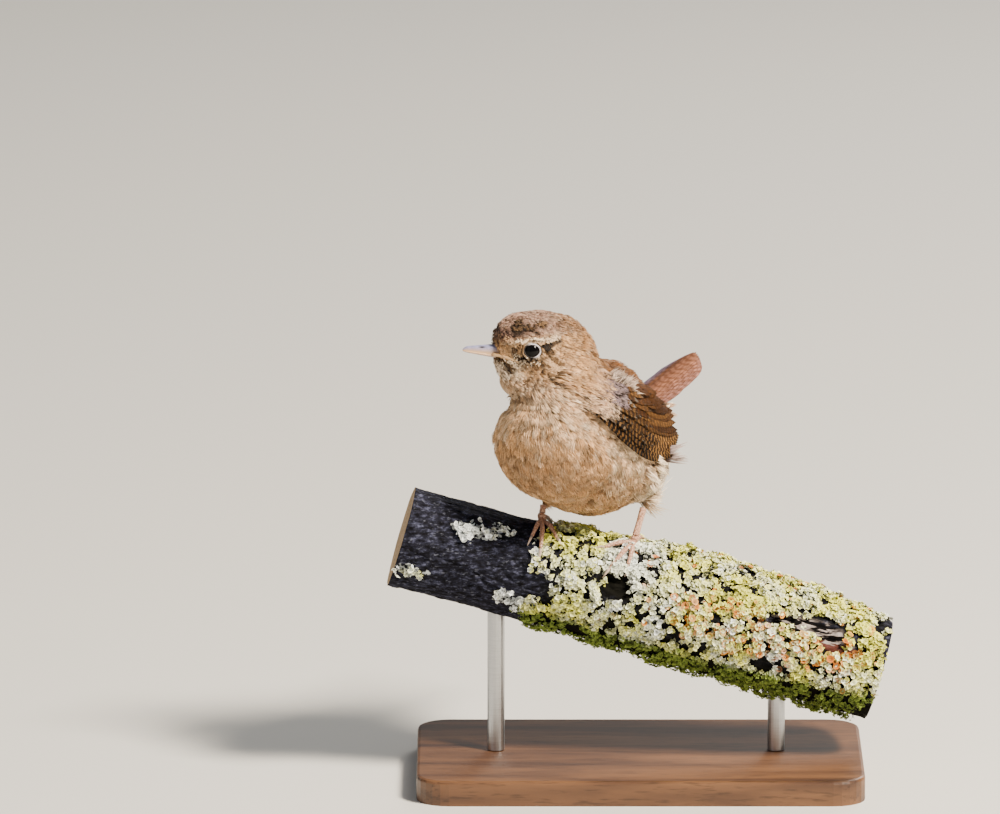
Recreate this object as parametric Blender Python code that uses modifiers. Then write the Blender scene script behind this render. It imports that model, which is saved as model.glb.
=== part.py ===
"""A Eurasian wren at life size, standing on a cut length of branch that a plain display stand holds.

Run it with: blender --background --python part.py
Units are metres and +Z is up. The origin is the middle of the base's underside. The perch runs along X,
and the bird looks towards -X and -Y.
"""

import math

import bmesh
import bpy
from mathutils import Matrix, Vector
from mathutils.bvhtree import BVHTree

MM = 0.001
GAP = 0.3 * MM  # clearance that touching pieces keep
WELD = 0.002 * MM
LEFT, RIGHT = 1, -1  # the bird's own sides

# Where the parts of the bird stand and how they are turned
BODY_CENTRE = (-15.8 * MM, 0.0, 93.0 * MM)
BODY_HEADING = math.radians(35)  # from -Y towards -X
BODY_PITCH = math.radians(20)  # breast above rump
HEAD_CENTRE = (-26.8 * MM, -9.1 * MM, 125.0 * MM)
HEAD_HEADING = math.radians(76)
HEAD_PITCH = math.radians(7)
TAIL_ROOT = (-6.2 * MM, 18.0 * MM, 97.4 * MM)
TAIL_HEADING = math.radians(50)
TAIL_RISE = math.radians(25.5)  # the cocked tail above the horizon

# Body masses in millimetres: centre forward, left, up, then the three radii
TORSO_MASSES = (
    ((0, 0, 1.5), (25, 20, 20)),  # rib cage
    ((12, 0, 0.5), (18, 19.5, 18)),  # breast
    ((-4, 0, -2), (17, 17.5, 16.5)),  # belly
    ((-9, 8, -0.5), (13, 12.5, 13)),  # left flank
    ((-9, -8, -0.5), (13, 12.5, 13)),  # right flank
    ((-2, 0, 12), (17, 15, 13.5)),  # mantle
    ((17, -0.5, 13), (13, 15, 12)),  # base of the neck
    ((-16, 0, 8), (12, 11, 9.5)),  # rump
    ((-22, 0, 10.5), (9, 8, 6.5)),  # upper tail coverts
    ((-14.5, 0, -2), (12, 12.5, 11)),  # vent
)
HEAD_MASSES = (
    ((-0.5, 0, 0), (12.4, 9.5, 9.4)),  # skull
    ((5.5, 0, 0.7), (9.2, 8, 7.6)),  # forehead
    ((8.5, 0, -3.2), (6.8, 4.8, 4.4)),  # lores
    ((1, 0, -4), (9, 8.8, 7)),  # cheeks
    ((-5.5, 0, -2.5), (9.8, 9.8, 9)),  # nape
    ((6.5, 0, -6.5), (7, 5.6, 5)),  # chin
    ((3.8, 0, -10.5), (8.8, 7.6, 6.8)),  # throat
)
NECK_START = (10, 0, 9)  # in the body frame
NECK_END = (-3.5, 0, -6)  # in the head frame
NECK_RADII = (16, 11.2)
NECK_STEPS = 5
FLESH_VOXEL = 0.9 * MM
FLESH_SMOOTHING = 14
FLESH_SHARE = 0.135  # of the smoothed triangles that are kept
HEAD_CUT = ((-4, 0, -6.6), (0.5, 0, 0.87))  # point and normal in the head frame, towards the head
NECK_CUT = ((14, 0, 15), (0.62, 0, 0.78))  # point and normal in the body frame, towards the neck

# Bill
BILL_ROOT = 12.4 * MM  # forward of the head's centre
BILL_DROP = -3.8 * MM
BILL_LENGTH = 10.4 * MM
BILL_WIDTH = 4.0 * MM
UPPER_HEIGHT = 1.9 * MM
LOWER_HEIGHT = 1.35 * MM
BILL_CURVE = 0.3 * MM  # how far the tip turns down
BILL_STATIONS = 8
GAPE_BACK = 5.0 * MM  # how far the lips run back along the cheek
GAPE_DROP = 2.0 * MM
LIP_RADIUS = 0.55 * MM
NOSTRIL = (1.0 * MM, 0.35 * MM, 0.4 * MM)

# Eyes
EYE_RADIUS = 2.6 * MM
EYE_PLACE = (4.9, 6.7, -1.4)  # forward, outward and up from the head's centre
EYE_AIM = math.radians(12)  # forward of straight out
LID_RADIUS = 2.25 * MM
LID_THICKNESS = 0.42 * MM

# Wings: places on a folded wing run back from the wrist and up across it, on an oval bed round the body
WING_BED_CENTRE = (-4.0 * MM, 0.0, 0.0)
WING_BED = (36.0 * MM, 19.2 * MM, 27.5 * MM)
BED_CLEARANCE = 0.35 * MM
PRESS_CENTRE = (22.0 * MM, 1.0 * MM)  # of the oval patch that a wing presses flat, back and up on it
PRESS_RADII = (24.5 * MM, 12.5 * MM)
PRESS_LEAN = 0.15  # how much the patch drops towards the wrist
PRESS_FADE = (0.95, 1.7)  # from the patch's edge to where the flesh keeps its own shape
PRESS_DEPTH = (2.6 * MM, 8.0 * MM)  # flesh that stands out further than this keeps its own shape too
PRESS_SMOOTHING = 8
WRIST = (19.5 * MM, 14.0 * MM)  # forward and up in the body frame
WING_DROOP = math.radians(9)  # below the body's axis
ARM_CENTRE = (12.0 * MM, -2.0 * MM)
ARM_RADII = (9.8 * MM, 6.8 * MM, 1.5 * MM)
VANE_THICKNESS = 0.5 * MM
VANE_CLEARANCE = 0.35 * MM  # between one vane and the next
VANE_TILT = -0.42  # how steeply each wing feather lies over the next
# Each row of wing feathers, in millimetres: how many, the roots and the tips of its lowest and highest
# feather, width, bow, rows and columns of the vane, share of the width at the root, height at root and tip
WING_ROWS = {
    "primary": (5, ((13, -6.6), (15, -3.2)), ((44, -2.2), (41.5, 2.2)), 3.6, -1.8, 5, 2, 0.6, (1.45, 1.45)),
    "secondary": (5, ((15, -1.9), (17, 2.6)), ((38.5, 3.2), (33, 7)), 4.0, -0.8, 4, 2, 0.6, (1.5, 1.5)),
    "tertial": (3, ((15, 3.4), (12, 6)), ((31, 7.4), (22, 9.4)), 4.6, 0, 4, 2, 0.6, (1.65, 1.65)),
    "covert": (8, ((11, -6.4), (9, 5)), ((23.5, -6.6), (19, 7.6)), 2.9, 0, 3, 1, 0.7, (2.6, 3.1)),
    "median": (6, ((6.5, -5), (5, 3.6)), ((15.5, -5.6), (13, 5.6)), 3.0, 0, 3, 1, 0.7, (2.9, 4.3)),
}

# Tail
TAIL_LENGTH = 31.5 * MM
TAIL_WIDTH = 17.0 * MM
TAIL_SHORTENING = {LEFT: 0.24, RIGHT: 0.12}  # of the outermost feather, for the fan is turned a little
TAIL_PAIRS = 5
RECTRIX_WIDTH = 5.6 * MM
TAIL_COVERTS = (9.0 * MM, 6.8 * MM, 3.3 * MM)  # radii of the feathering that holds the tail's root

# Legs and feet
SHANK_RADIUS = 1.02 * MM
TOE_RADIUS = 0.62 * MM
CLAW_RADIUS = 0.42 * MM
CLAW_LENGTH = 4.0 * MM
THIGH_RADIUS = 2.6 * MM
THIGH_SHOWN = {LEFT: 2.2 * MM, RIGHT: 0.7 * MM}
FOOT_NECK = 1.5 * MM  # the part of the foot's node that stands up towards the shank
FOOT_STANDS = {
    # place along the perch, angle forward over its top, then the point that the shank aims at
    LEFT: (-6.8 * MM, math.radians(10), (4.6 * MM, 6.5 * MM, 88.0 * MM)),
    RIGHT: (-33.2 * MM, math.radians(5), (-24.0 * MM, 7.0 * MM, 92.0 * MM)),
}
# Each toe: its name, direction over the perch from straight forward towards +X, and its length
TOES = (
    ("inner", math.radians(-60), 8.8 * MM),
    ("middle", math.radians(-24), 12.0 * MM),
    ("outer", math.radians(-2), 8.8 * MM),
    ("hind", math.radians(158), 7.4 * MM),
)

# Perch, rods and base
PERCH_HEIGHT = 49.0 * MM
PERCH_SLOPE = math.atan(0.294)  # down towards +X
PERCH_LENGTH = 138.0 * MM
PERCH_RADIUS = 14.4 * MM
PERCH_SIDES = 24
PERCH_RINGS = 22
LICHEN_SWELL = 2.2 * MM
ROD_RADIUS = 2.4 * MM
ROD_SIDES = 20
ROD_PLACES = (-40.0 * MM, 38.0 * MM)
ROD_SEAT_RADIUS = 3.6 * MM
ROD_SEAT_DEPTH = 1.6 * MM
BASE_SIZE = (124.0 * MM, 74.0 * MM, 7.0 * MM)
BASE_CORNER = 9.0 * MM
BASE_EDGE = 0.9 * MM


def clear_scene():
    for obj in list(bpy.data.objects):
        bpy.data.objects.remove(obj)


def new_collection(name):
    collection = bpy.data.collections.new(name)
    bpy.context.scene.collection.children.link(collection)
    return collection


def new_material(name, colour, roughness, metallic=0.0):
    material = bpy.data.materials.new(name)
    material.use_nodes = True
    shader = material.node_tree.nodes["Principled BSDF"]
    shader.inputs["Base Color"].default_value = (*colour, 1.0)
    shader.inputs["Roughness"].default_value = roughness
    shader.inputs["Metallic"].default_value = metallic
    return material


clear_scene()
WREN = new_collection("wren_on_stand")
HELPERS = new_collection("helpers")
PLUMAGE_WARM = new_material("plumage_warm", (0.36, 0.19, 0.08), 0.8)
PLUMAGE_PALE = new_material("plumage_pale", (0.55, 0.40, 0.22), 0.8)
PLUMAGE_WING = new_material("plumage_wing", (0.22, 0.10, 0.04), 0.7)
HORN = new_material("bill_horn", (0.42, 0.36, 0.30), 0.4)
EYE_DARK = new_material("eye_dark", (0.01, 0.01, 0.012), 0.08)
LEG_SKIN = new_material("leg_skin", (0.62, 0.36, 0.26), 0.5)
CLAW_HORN = new_material("claw_horn", (0.40, 0.28, 0.20), 0.4)
BARK = new_material("bark", (0.10, 0.09, 0.09), 0.9)
STEEL = new_material("stand_steel", (0.55, 0.55, 0.56), 0.35, 1.0)
STAND_WOOD = new_material("stand_wood", (0.20, 0.12, 0.07), 0.5)


# Frames: X forward, Y to the bird's left, Z up
def frame(origin, heading, pitch):
    turn = Matrix.Rotation(-math.pi / 2 - heading, 4, "Z")
    lift = Matrix.Rotation(-pitch, 4, "Y")
    return Matrix.Translation(origin) @ turn @ lift


BODY = frame(BODY_CENTRE, BODY_HEADING, BODY_PITCH)
HEAD = frame(HEAD_CENTRE, HEAD_HEADING, HEAD_PITCH)
TAIL = frame(TAIL_ROOT, TAIL_HEADING, -TAIL_RISE)
PERCH = Matrix.Translation((0, 0, PERCH_HEIGHT)) @ Matrix.Rotation(PERCH_SLOPE, 4, "Y")


def direction(frame_matrix, vector):
    return (frame_matrix.to_3x3() @ Vector(vector)).normalized()


# Objects and joins
def add_object(name, mesh, collection, material=None):
    obj = bpy.data.objects.new(name, mesh)
    collection.objects.link(obj)
    if material:
        mesh.materials.clear()
        mesh.materials.append(material)
    return obj


def from_bmesh(name, shape, collection, material=None):
    mesh = bpy.data.meshes.new(name)
    shape.to_mesh(mesh)
    shape.free()
    return add_object(name, mesh, collection, material)


def face_out(shape):
    """Turns the faces of a closed shape outwards, if its volume says that they point in."""
    if shape.calc_volume(signed=True) < 0:
        bmesh.ops.reverse_faces(shape, faces=shape.faces)


def bake(obj, weld=False):
    """Turns an object with modifiers, or a curve, into a plain mesh object whose place is in its mesh."""
    bpy.context.view_layer.update()
    graph = bpy.context.evaluated_depsgraph_get()
    mesh = bpy.data.meshes.new_from_object(obj.evaluated_get(graph))
    mesh.transform(obj.matrix_world)
    name, collection = obj.name, obj.users_collection[0]
    bpy.data.objects.remove(obj)
    if weld:
        shape = bmesh.new()
        shape.from_mesh(mesh)
        bmesh.ops.remove_doubles(shape, verts=shape.verts, dist=WELD)
        face_out(shape)
        shape.to_mesh(mesh)
        shape.free()
    made = add_object(name, mesh, collection)
    made.name = name
    return made


def keep_largest(obj):
    """Keeps only the biggest closed surface of a mesh object."""
    shape = bmesh.new()
    shape.from_mesh(obj.data)
    left, islands = set(shape.verts), []
    while left:
        island, edge_of = set(), [left.pop()]
        while edge_of:
            vert = edge_of.pop()
            island.add(vert)
            for edge in vert.link_edges:
                other = edge.other_vert(vert)
                if other in left:
                    left.remove(other)
                    edge_of.append(other)
        islands.append(island)
    biggest = max(islands, key=lambda island: span(island))
    scraps = [vert for vert in shape.verts if vert not in biggest]
    bmesh.ops.delete(shape, geom=scraps, context="VERTS")
    shape.to_mesh(obj.data)
    shape.free()
    return obj


def span(verts):
    """Length of the diagonal of the box round some vertices."""
    corners = [[pick(v.co[axis] for v in verts) for axis in range(3)] for pick in (min, max)]
    return (Vector(corners[1]) - Vector(corners[0])).length


def boolean(obj, others, operation, solver="EXACT"):
    """Joins the others to a mesh object, or cuts them from it, and removes them."""
    group = new_collection(obj.name + "_" + operation.lower())
    for other in others:
        for collection in list(other.users_collection):
            collection.objects.unlink(other)
        group.objects.link(other)
    modifier = obj.modifiers.new(operation.title(), "BOOLEAN")
    modifier.operation = operation
    modifier.operand_type = "COLLECTION"
    modifier.collection = group
    modifier.solver = solver
    made = bake(obj)
    for other in list(group.objects):
        bpy.data.objects.remove(other)
    bpy.data.collections.remove(group)
    return keep_largest(made)


def finish(obj, material, smooth_angle=None):
    """Moves a node to the wren's collection, colours it and shades it."""
    for collection in list(obj.users_collection):
        collection.objects.unlink(obj)
    WREN.objects.link(obj)
    obj.data.materials.clear()
    obj.data.materials.append(material)
    if smooth_angle is not None:
        obj.data.shade_smooth()
        obj.data.set_sharp_from_angle(angle=smooth_angle)
    return obj


def ellipsoid(name, frame_matrix, centre, radii, segments=24, rings=14):
    """A squashed sphere in one of the frames. Centre and radii are in metres."""
    shape = bmesh.new()
    bmesh.ops.create_uvsphere(shape, u_segments=segments, v_segments=rings, radius=1.0)
    bmesh.ops.scale(shape, vec=radii, verts=shape.verts)
    bmesh.ops.translate(shape, vec=centre, verts=shape.verts)
    bmesh.ops.transform(shape, matrix=frame_matrix, verts=shape.verts)
    return from_bmesh(name, shape, HELPERS)


def tube(name, points, radii, resolution=2, collection=None):
    """A round tube through world points, with a radius at each."""
    curve = bpy.data.curves.new(name, "CURVE")
    curve.dimensions = "3D"
    curve.bevel_depth = 1.0
    curve.bevel_resolution = resolution
    curve.use_fill_caps = True
    spline = curve.splines.new("POLY")
    spline.points.add(len(points) - 1)
    for target, point, radius in zip(spline.points, points, radii):
        target.co = (*point, 1.0)
        target.radius = radius
    obj = bpy.data.objects.new(name, curve)
    (collection or HELPERS).objects.link(obj)
    return bake(obj, weld=True)


def loft(name, rings, collection=None):
    """A closed skin over rings of equal count, with flat ends."""
    shape = bmesh.new()
    rows = [[shape.verts.new(point) for point in ring] for ring in rings]
    count = len(rows[0])
    for near, far in zip(rows, rows[1:]):
        for i in range(count):
            j = (i + 1) % count
            shape.faces.new((near[i], near[j], far[j], far[i]))
    shape.faces.new(rows[0][::-1])
    shape.faces.new(rows[-1])
    bmesh.ops.recalc_face_normals(shape, faces=shape.faces)
    return from_bmesh(name, shape, collection or HELPERS)


def mix(a, b, share):
    return a + (b - a) * share


def soft_step(value, low, high):
    """0 below low, 1 above high and a smooth rise between."""
    share = min(max((value - low) / (high - low), 0), 1)
    return share * share * (3 - 2 * share)


# Torso, neck and head are modelled whole and parted with thin cuts
def press_wing_beds(obj):
    """Presses the flesh under each folded wing down to just inside the oval that the wing lies on."""
    inverse = BODY.inverted()
    back, up = wing_axes()
    centre, radii = Vector(WING_BED_CENTRE), Vector(WING_BED)
    for vert in obj.data.vertices:
        spot = inverse @ vert.co
        flat = Vector((spot.x, spot.z)) - Vector(WRIST)
        along = flat.dot(back) - PRESS_CENTRE[0]
        across = flat.dot(up) - PRESS_CENTRE[1] - PRESS_LEAN * along
        reach = (along / PRESS_RADII[0]) ** 2 + (across / PRESS_RADII[1]) ** 2
        x, z = spot.x - centre.x, spot.z - centre.z
        inside = max(1 - (x / radii.x) ** 2 - (z / radii.z) ** 2, 0)
        limit = radii.y * math.sqrt(inside) - BED_CLEARANCE
        inner = (1 - soft_step(reach, *PRESS_FADE)) * (1 - soft_step(abs(spot.y) - limit, *PRESS_DEPTH))
        if inner > 0 and abs(spot.y) > limit:
            spot.y = math.copysign(mix(abs(spot.y), limit, inner), spot.y)
            vert.co = BODY @ spot


def flesh():
    masses = []
    for i, (centre, radii) in enumerate(TORSO_MASSES):
        masses.append(ellipsoid(f"torso_mass_{i}", BODY, Vector(centre) * MM, Vector(radii) * MM))
    for i, (centre, radii) in enumerate(HEAD_MASSES):
        masses.append(ellipsoid(f"head_mass_{i}", HEAD, Vector(centre) * MM, Vector(radii) * MM))
    start = BODY @ (Vector(NECK_START) * MM)
    end = HEAD @ (Vector(NECK_END) * MM)
    for i in range(NECK_STEPS):
        share = i / (NECK_STEPS - 1)
        place = Matrix.Translation(start.lerp(end, share))
        radius = mix(*NECK_RADII, share) * MM
        masses.append(ellipsoid(f"neck_mass_{i}", place, (0, 0, 0), (radius,) * 3))
    body = masses[0]
    shape = bmesh.new()
    for mass in masses:
        shape.from_mesh(mass.data)
    shape.to_mesh(body.data)
    shape.free()
    for mass in masses[1:]:
        bpy.data.objects.remove(mass)
    body.name = "flesh"
    remesh = body.modifiers.new("Union", "REMESH")
    remesh.mode = "VOXEL"
    remesh.voxel_size = FLESH_VOXEL
    smooth = body.modifiers.new("Blend", "SMOOTH")
    smooth.factor = 0.5
    smooth.iterations = FLESH_SMOOTHING
    body = bake(body)
    press_wing_beds(body)
    settle = body.modifiers.new("Settle", "SMOOTH")
    settle.factor = 0.5
    settle.iterations = PRESS_SMOOTHING
    lighten = body.modifiers.new("Lighten", "DECIMATE")
    lighten.ratio = FLESH_SHARE
    return bake(body)


def part_between(source, name, cuts):
    """The part of a closed mesh on the side that every cut's normal points to, set back by half a gap."""
    shape = bmesh.new()
    shape.from_mesh(source.data)
    for point, normal in cuts:
        whole = shape.verts[:] + shape.edges[:] + shape.faces[:]
        cut = bmesh.ops.bisect_plane(
            shape,
            geom=whole,
            plane_co=point + normal * GAP / 2,
            plane_no=normal,
            clear_inner=True,
        )
        rim = [part for part in cut["geom_cut"] if isinstance(part, bmesh.types.BMEdge)]
        bmesh.ops.holes_fill(shape, edges=rim, sides=0)
    bmesh.ops.recalc_face_normals(shape, faces=shape.faces)
    return keep_largest(from_bmesh(name, shape, HELPERS))


def clearance_of(obj):
    """A helper that stands one gap outside a node, for cutting what meets it."""
    cutter = add_object(obj.name + "_clearance", obj.data.copy(), HELPERS)
    swell = cutter.modifiers.new("Swell", "DISPLACE")
    swell.mid_level = 0.0
    swell.strength = GAP * 1.15
    return bake(cutter)


def make_torso_neck_head():
    source = flesh()
    head_point = HEAD @ (Vector(HEAD_CUT[0]) * MM)
    head_normal = direction(HEAD, HEAD_CUT[1])
    neck_point = BODY @ (Vector(NECK_CUT[0]) * MM)
    neck_normal = direction(BODY, NECK_CUT[1])
    torso = part_between(source, "torso", [(neck_point, -neck_normal)])
    neck = part_between(source, "neck", [(neck_point, neck_normal), (head_point, -head_normal)])
    head = part_between(source, "head", [(head_point, head_normal)])
    bpy.data.objects.remove(source)
    tree = BVHTree.FromObject(head, bpy.context.evaluated_depsgraph_get())
    sockets, rims = [bill_socket()], []
    for side in (LEFT, RIGHT):
        sockets.append(eyeball(f"socket_{side}", side, EYE_RADIUS + GAP))
        rims.append(lid(side))
        rims.append(lip(tree, side))
    head = boolean(head, rims, "UNION")
    head = boolean(head, sockets, "DIFFERENCE")
    finish(torso, PLUMAGE_PALE, math.radians(40))
    finish(neck, PLUMAGE_PALE, math.radians(40))
    finish(head, PLUMAGE_WARM, math.radians(40))
    return torso, neck, head


# Eyes, lids and lips
def eye_frame(side):
    forward, outward, up = EYE_PLACE
    aim = Matrix.Rotation(side * (math.pi / 2 - EYE_AIM), 4, "Z")
    centre = Vector((forward, side * outward, up)) * MM
    return HEAD @ Matrix.Translation(centre) @ aim


def eyeball(name, side, radius):
    return ellipsoid(name, eye_frame(side), (0, 0, 0), (radius,) * 3, 16, 10)


def lid(side):
    """The ring of bare skin round the eye, where the lids meet the ball."""
    stand_off = math.sqrt((EYE_RADIUS + GAP) ** 2 - LID_RADIUS**2)
    bpy.ops.mesh.primitive_torus_add(
        major_radius=LID_RADIUS, minor_radius=LID_THICKNESS, major_segments=18, minor_segments=6
    )
    ring = bpy.context.object
    ring.name = f"lid_{side}"
    ring.matrix_world = (
        eye_frame(side) @ Matrix.Translation((stand_off, 0, 0)) @ Matrix.Rotation(math.pi / 2, 4, "Y")
    )
    return bake(ring)


def lip(tree, side):
    """The soft gape that carries the line of the mouth back from the bill, along the skin of the cheek."""
    points = []
    for i in range(4):
        share = i / 3
        forward = BILL_ROOT + 0.6 * MM - GAPE_BACK * share
        start = HEAD @ Vector((forward, side * 20 * MM, BILL_DROP - GAPE_DROP * share**1.2))
        points.append(tree.ray_cast(start, direction(HEAD, (0, -side, 0)))[0])
    radii = [LIP_RADIUS * scale for scale in (1.0, 1.1, 1.0, 0.6)]
    return tube(f"lip_{side}", points, radii, 1)


def make_eyes():
    for side, name in ((LEFT, "eye_left"), (RIGHT, "eye_right")):
        finish(eyeball(name, side, EYE_RADIUS), EYE_DARK, math.radians(60))


# Bill
def bill_half(name, height, sign):
    """One mandible: a half-round spike that narrows and turns down a little to its tip."""
    rings = []
    for i in range(BILL_STATIONS):
        share = i / (BILL_STATIONS - 1)
        taper = max((1 - share) ** 0.72, 0.09)
        forward = BILL_ROOT + GAP + BILL_LENGTH * share
        drop = BILL_DROP - BILL_CURVE * share**2.2
        ring = []
        for k in range(7):
            angle = math.pi * k / 6
            side = math.cos(angle) * BILL_WIDTH / 2 * taper
            rise = math.sin(angle) ** 0.8 * height * taper + GAP / 2
            ring.append(HEAD @ Vector((forward, side, drop + sign * rise)))
        rings.append(ring)
    return loft(name, rings)


def bill_socket():
    """The hole in the face that the root of the bill stands in, open to the front."""
    rings = []
    for forward in (BILL_ROOT, BILL_ROOT + 6 * MM):
        ring = []
        for k in range(12):
            angle = math.tau * k / 12
            height = UPPER_HEIGHT if math.sin(angle) > 0 else LOWER_HEIGHT
            side = math.cos(angle) * (BILL_WIDTH / 2 + GAP)
            rise = math.sin(angle) * (height + GAP * 1.6)
            ring.append(HEAD @ Vector((forward, side, BILL_DROP + rise)))
        rings.append(ring)
    return loft("bill_socket", rings)


def make_bill():
    upper = bill_half("bill_upper", UPPER_HEIGHT, 1)
    nostrils = []
    for side in (LEFT, RIGHT):
        place = (BILL_ROOT + 3.2 * MM, side * 1.3 * MM, BILL_DROP + 1.0 * MM)
        nostrils.append(ellipsoid(f"nostril_{side}", HEAD, place, NOSTRIL, 10, 6))
    finish(boolean(upper, nostrils, "DIFFERENCE"), HORN, math.radians(50))
    finish(bill_half("bill_lower", LOWER_HEIGHT, -1), HORN, math.radians(50))


# Feathers
def vane(name, chart, root, tip, width, bow=0.0, rows=5, columns=2, tilt=0.0, root_share=0.45, lift=(0, 0)):
    """One feather. Chart turns a place along, across and out into a world point. Root and tip are places along
    and across, bow bends the shaft across, and tilt raises one edge over the other. Lift is the height at the
    root and at the tip. The sheet is split into triangles before it gets its thickness, so both faces match."""
    shape = bmesh.new()
    bmesh.ops.create_grid(shape, x_segments=rows, y_segments=columns, size=1.0)
    root, tip = Vector(root), Vector(tip)
    along = (tip - root).normalized()
    across = Vector((-along.y, along.x))
    for vert in shape.verts:
        share = (vert.co.x + 1) / 2
        side = vert.co.y / 2
        swell = root_share + (1 - root_share) * math.sin(math.pi / 2 * min(share / 0.55, 1.0))
        rounding = 1.0 if share < 0.78 else math.sqrt(max(1 - ((share - 0.78) / 0.235) ** 2, 0.03))
        reach = share - (0.07 * abs(side) * 2 if share > 0.9 else 0.0)
        offset = side * width * swell * rounding
        spot = root + (tip - root) * reach + across * (offset + bow * math.sin(math.pi * share))
        height = mix(lift[0], lift[1], share) + offset * tilt
        vert.co = chart(spot.x, spot.y, height)
    bmesh.ops.triangulate(shape, faces=shape.faces, quad_method="FIXED")
    sheet = from_bmesh(name, shape, HELPERS)
    wall = sheet.modifiers.new("Thickness", "SOLIDIFY")
    wall.thickness = VANE_THICKNESS
    wall.offset = 0.0
    wall.use_even_offset = False
    return bake(sheet, weld=True)


# Wings
def wing_axes():
    """Back and up along the folded wing, as seen from the bird's side."""
    back = Vector((-math.cos(WING_DROOP), -math.sin(WING_DROOP)))
    return back, Vector((-math.sin(WING_DROOP), math.cos(WING_DROOP)))


def wing_chart(side):
    """Turns a place back from the wrist, up across the wing and out from its bed into a world point."""
    back, up = wing_axes()
    centre, radii = Vector(WING_BED_CENTRE), Vector(WING_BED)

    def place(u, v, height):
        flat = Vector(WRIST) + back * u + up * v
        x, z = flat.x - centre.x, flat.y - centre.z
        inside = max(1 - (x / radii.x) ** 2 - (z / radii.z) ** 2, 0.02)
        y = radii.y * math.sqrt(inside)
        normal = Vector((x / radii.x**2, y / radii.y**2, z / radii.z**2)).normalized()
        spot = Vector((x, y, z)) + normal * height + centre
        return BODY @ Vector((spot.x, side * spot.y, spot.z))

    return place


def make_wing(side, name):
    chart = wing_chart(side)
    arm = bmesh.new()
    bmesh.ops.create_uvsphere(arm, u_segments=18, v_segments=7, radius=1.0)
    middle = ARM_RADII[2] + GAP
    for vert in arm.verts:
        u = ARM_CENTRE[0] + vert.co.x * ARM_RADII[0]
        v = ARM_CENTRE[1] + vert.co.y * ARM_RADII[1]
        vert.co = chart(u, v, middle + vert.co.z * ARM_RADII[2])
    face_out(arm)
    arm = from_bmesh(name, arm, HELPERS)
    vanes = []
    for row, (count, roots, tips, width, bow, steps, sides, root_share, lift) in WING_ROWS.items():
        for i in range(count):
            share = i / (count - 1)
            root = [mix(roots[0][axis], roots[1][axis], share) * MM for axis in range(2)]
            tip = [mix(tips[0][axis], tips[1][axis], share) * MM for axis in range(2)]
            heights = [level * MM for level in lift]
            vanes.append(
                vane(
                    f"{row}_{i}", chart, root, tip, width * MM, bow * MM, steps, sides, VANE_TILT, root_share,
                    heights,
                )
            )
    finish(boolean(arm, vanes, "UNION", "MANIFOLD"), PLUMAGE_WING)


# Tail
def tail_chart(back, across, height):
    """Turns a place back from the tail's root, to the left and up from its plane into a world point."""
    return TAIL @ Vector((-back, across, height - 0.006 / MM * across**2))


def make_tail(shell, shell_tree):
    end = TAIL @ Vector((-TAIL_LENGTH, 0, 0))
    surface = shell_tree.ray_cast(end, direction(TAIL, (1, 0, 0)))[0]
    bare = TAIL_LENGTH - (end - surface).length
    root = ellipsoid("tail", TAIL, (-bare, 0, -0.6 * MM), TAIL_COVERTS, 16, 8)
    step = VANE_THICKNESS + VANE_CLEARANCE
    vanes = []
    for pair in range(TAIL_PAIRS):
        share = pair / (TAIL_PAIRS - 1)
        spread = mix(0.75 * MM, TAIL_WIDTH / 2 - RECTRIX_WIDTH / 2, share)
        height = 1.4 * MM - step * pair
        for side in (LEFT, RIGHT):
            reach = TAIL_LENGTH * (1 - TAIL_SHORTENING[side] * share**2)
            level = height - (step * 0.5 if side == RIGHT else 0)
            if pair == 0:
                level = height + (0 if side == LEFT else step)
            start = (0.5 * MM, side * spread * 0.5)
            end = (reach, side * spread)
            vanes.append(
                vane(
                    f"rectrix_{pair}_{side}", tail_chart, start, end, RECTRIX_WIDTH, side * 0.4 * MM, 5, 2,
                    -side * 0.05, 0.4, (level * 0.7, level),
                )
            )
    tail = boolean(root, vanes, "UNION", "MANIFOLD")
    cutter = add_object("tail_cut", shell.data.copy(), HELPERS)
    finish(boolean(tail, [cutter], "DIFFERENCE", "MANIFOLD"), PLUMAGE_WING)


# Perch
def lichen_cover(x, angle):
    """How thick the lichen crust is, from 0 to 1, at a place along the perch and round it."""
    along = math.exp(-(((x / MM - 28) / 34) ** 4))
    near_side = 0.5 + 0.5 * math.cos(angle - math.radians(-35))
    return along * near_side


def perch_radius(x, angle):
    """The bark's radius, with slow swellings, ridges along the grain and the lichen crust."""
    s = x / PERCH_LENGTH
    slow = 0.035 * math.sin(7.3 * s + 0.9) + 0.02 * math.sin(3 * angle + 5 * s)
    grain = 0.018 * math.sin(7 * angle + 11 * s) * math.sin(23 * s + 1.3)
    bumps = 0.10 * math.sin(61 * s + 2 * angle) * math.sin(5 * angle - 37 * s)
    cover = lichen_cover(x, angle)
    return PERCH_RADIUS * (1 + slow + grain) + LICHEN_SWELL * cover * (0.85 + bumps)


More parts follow.
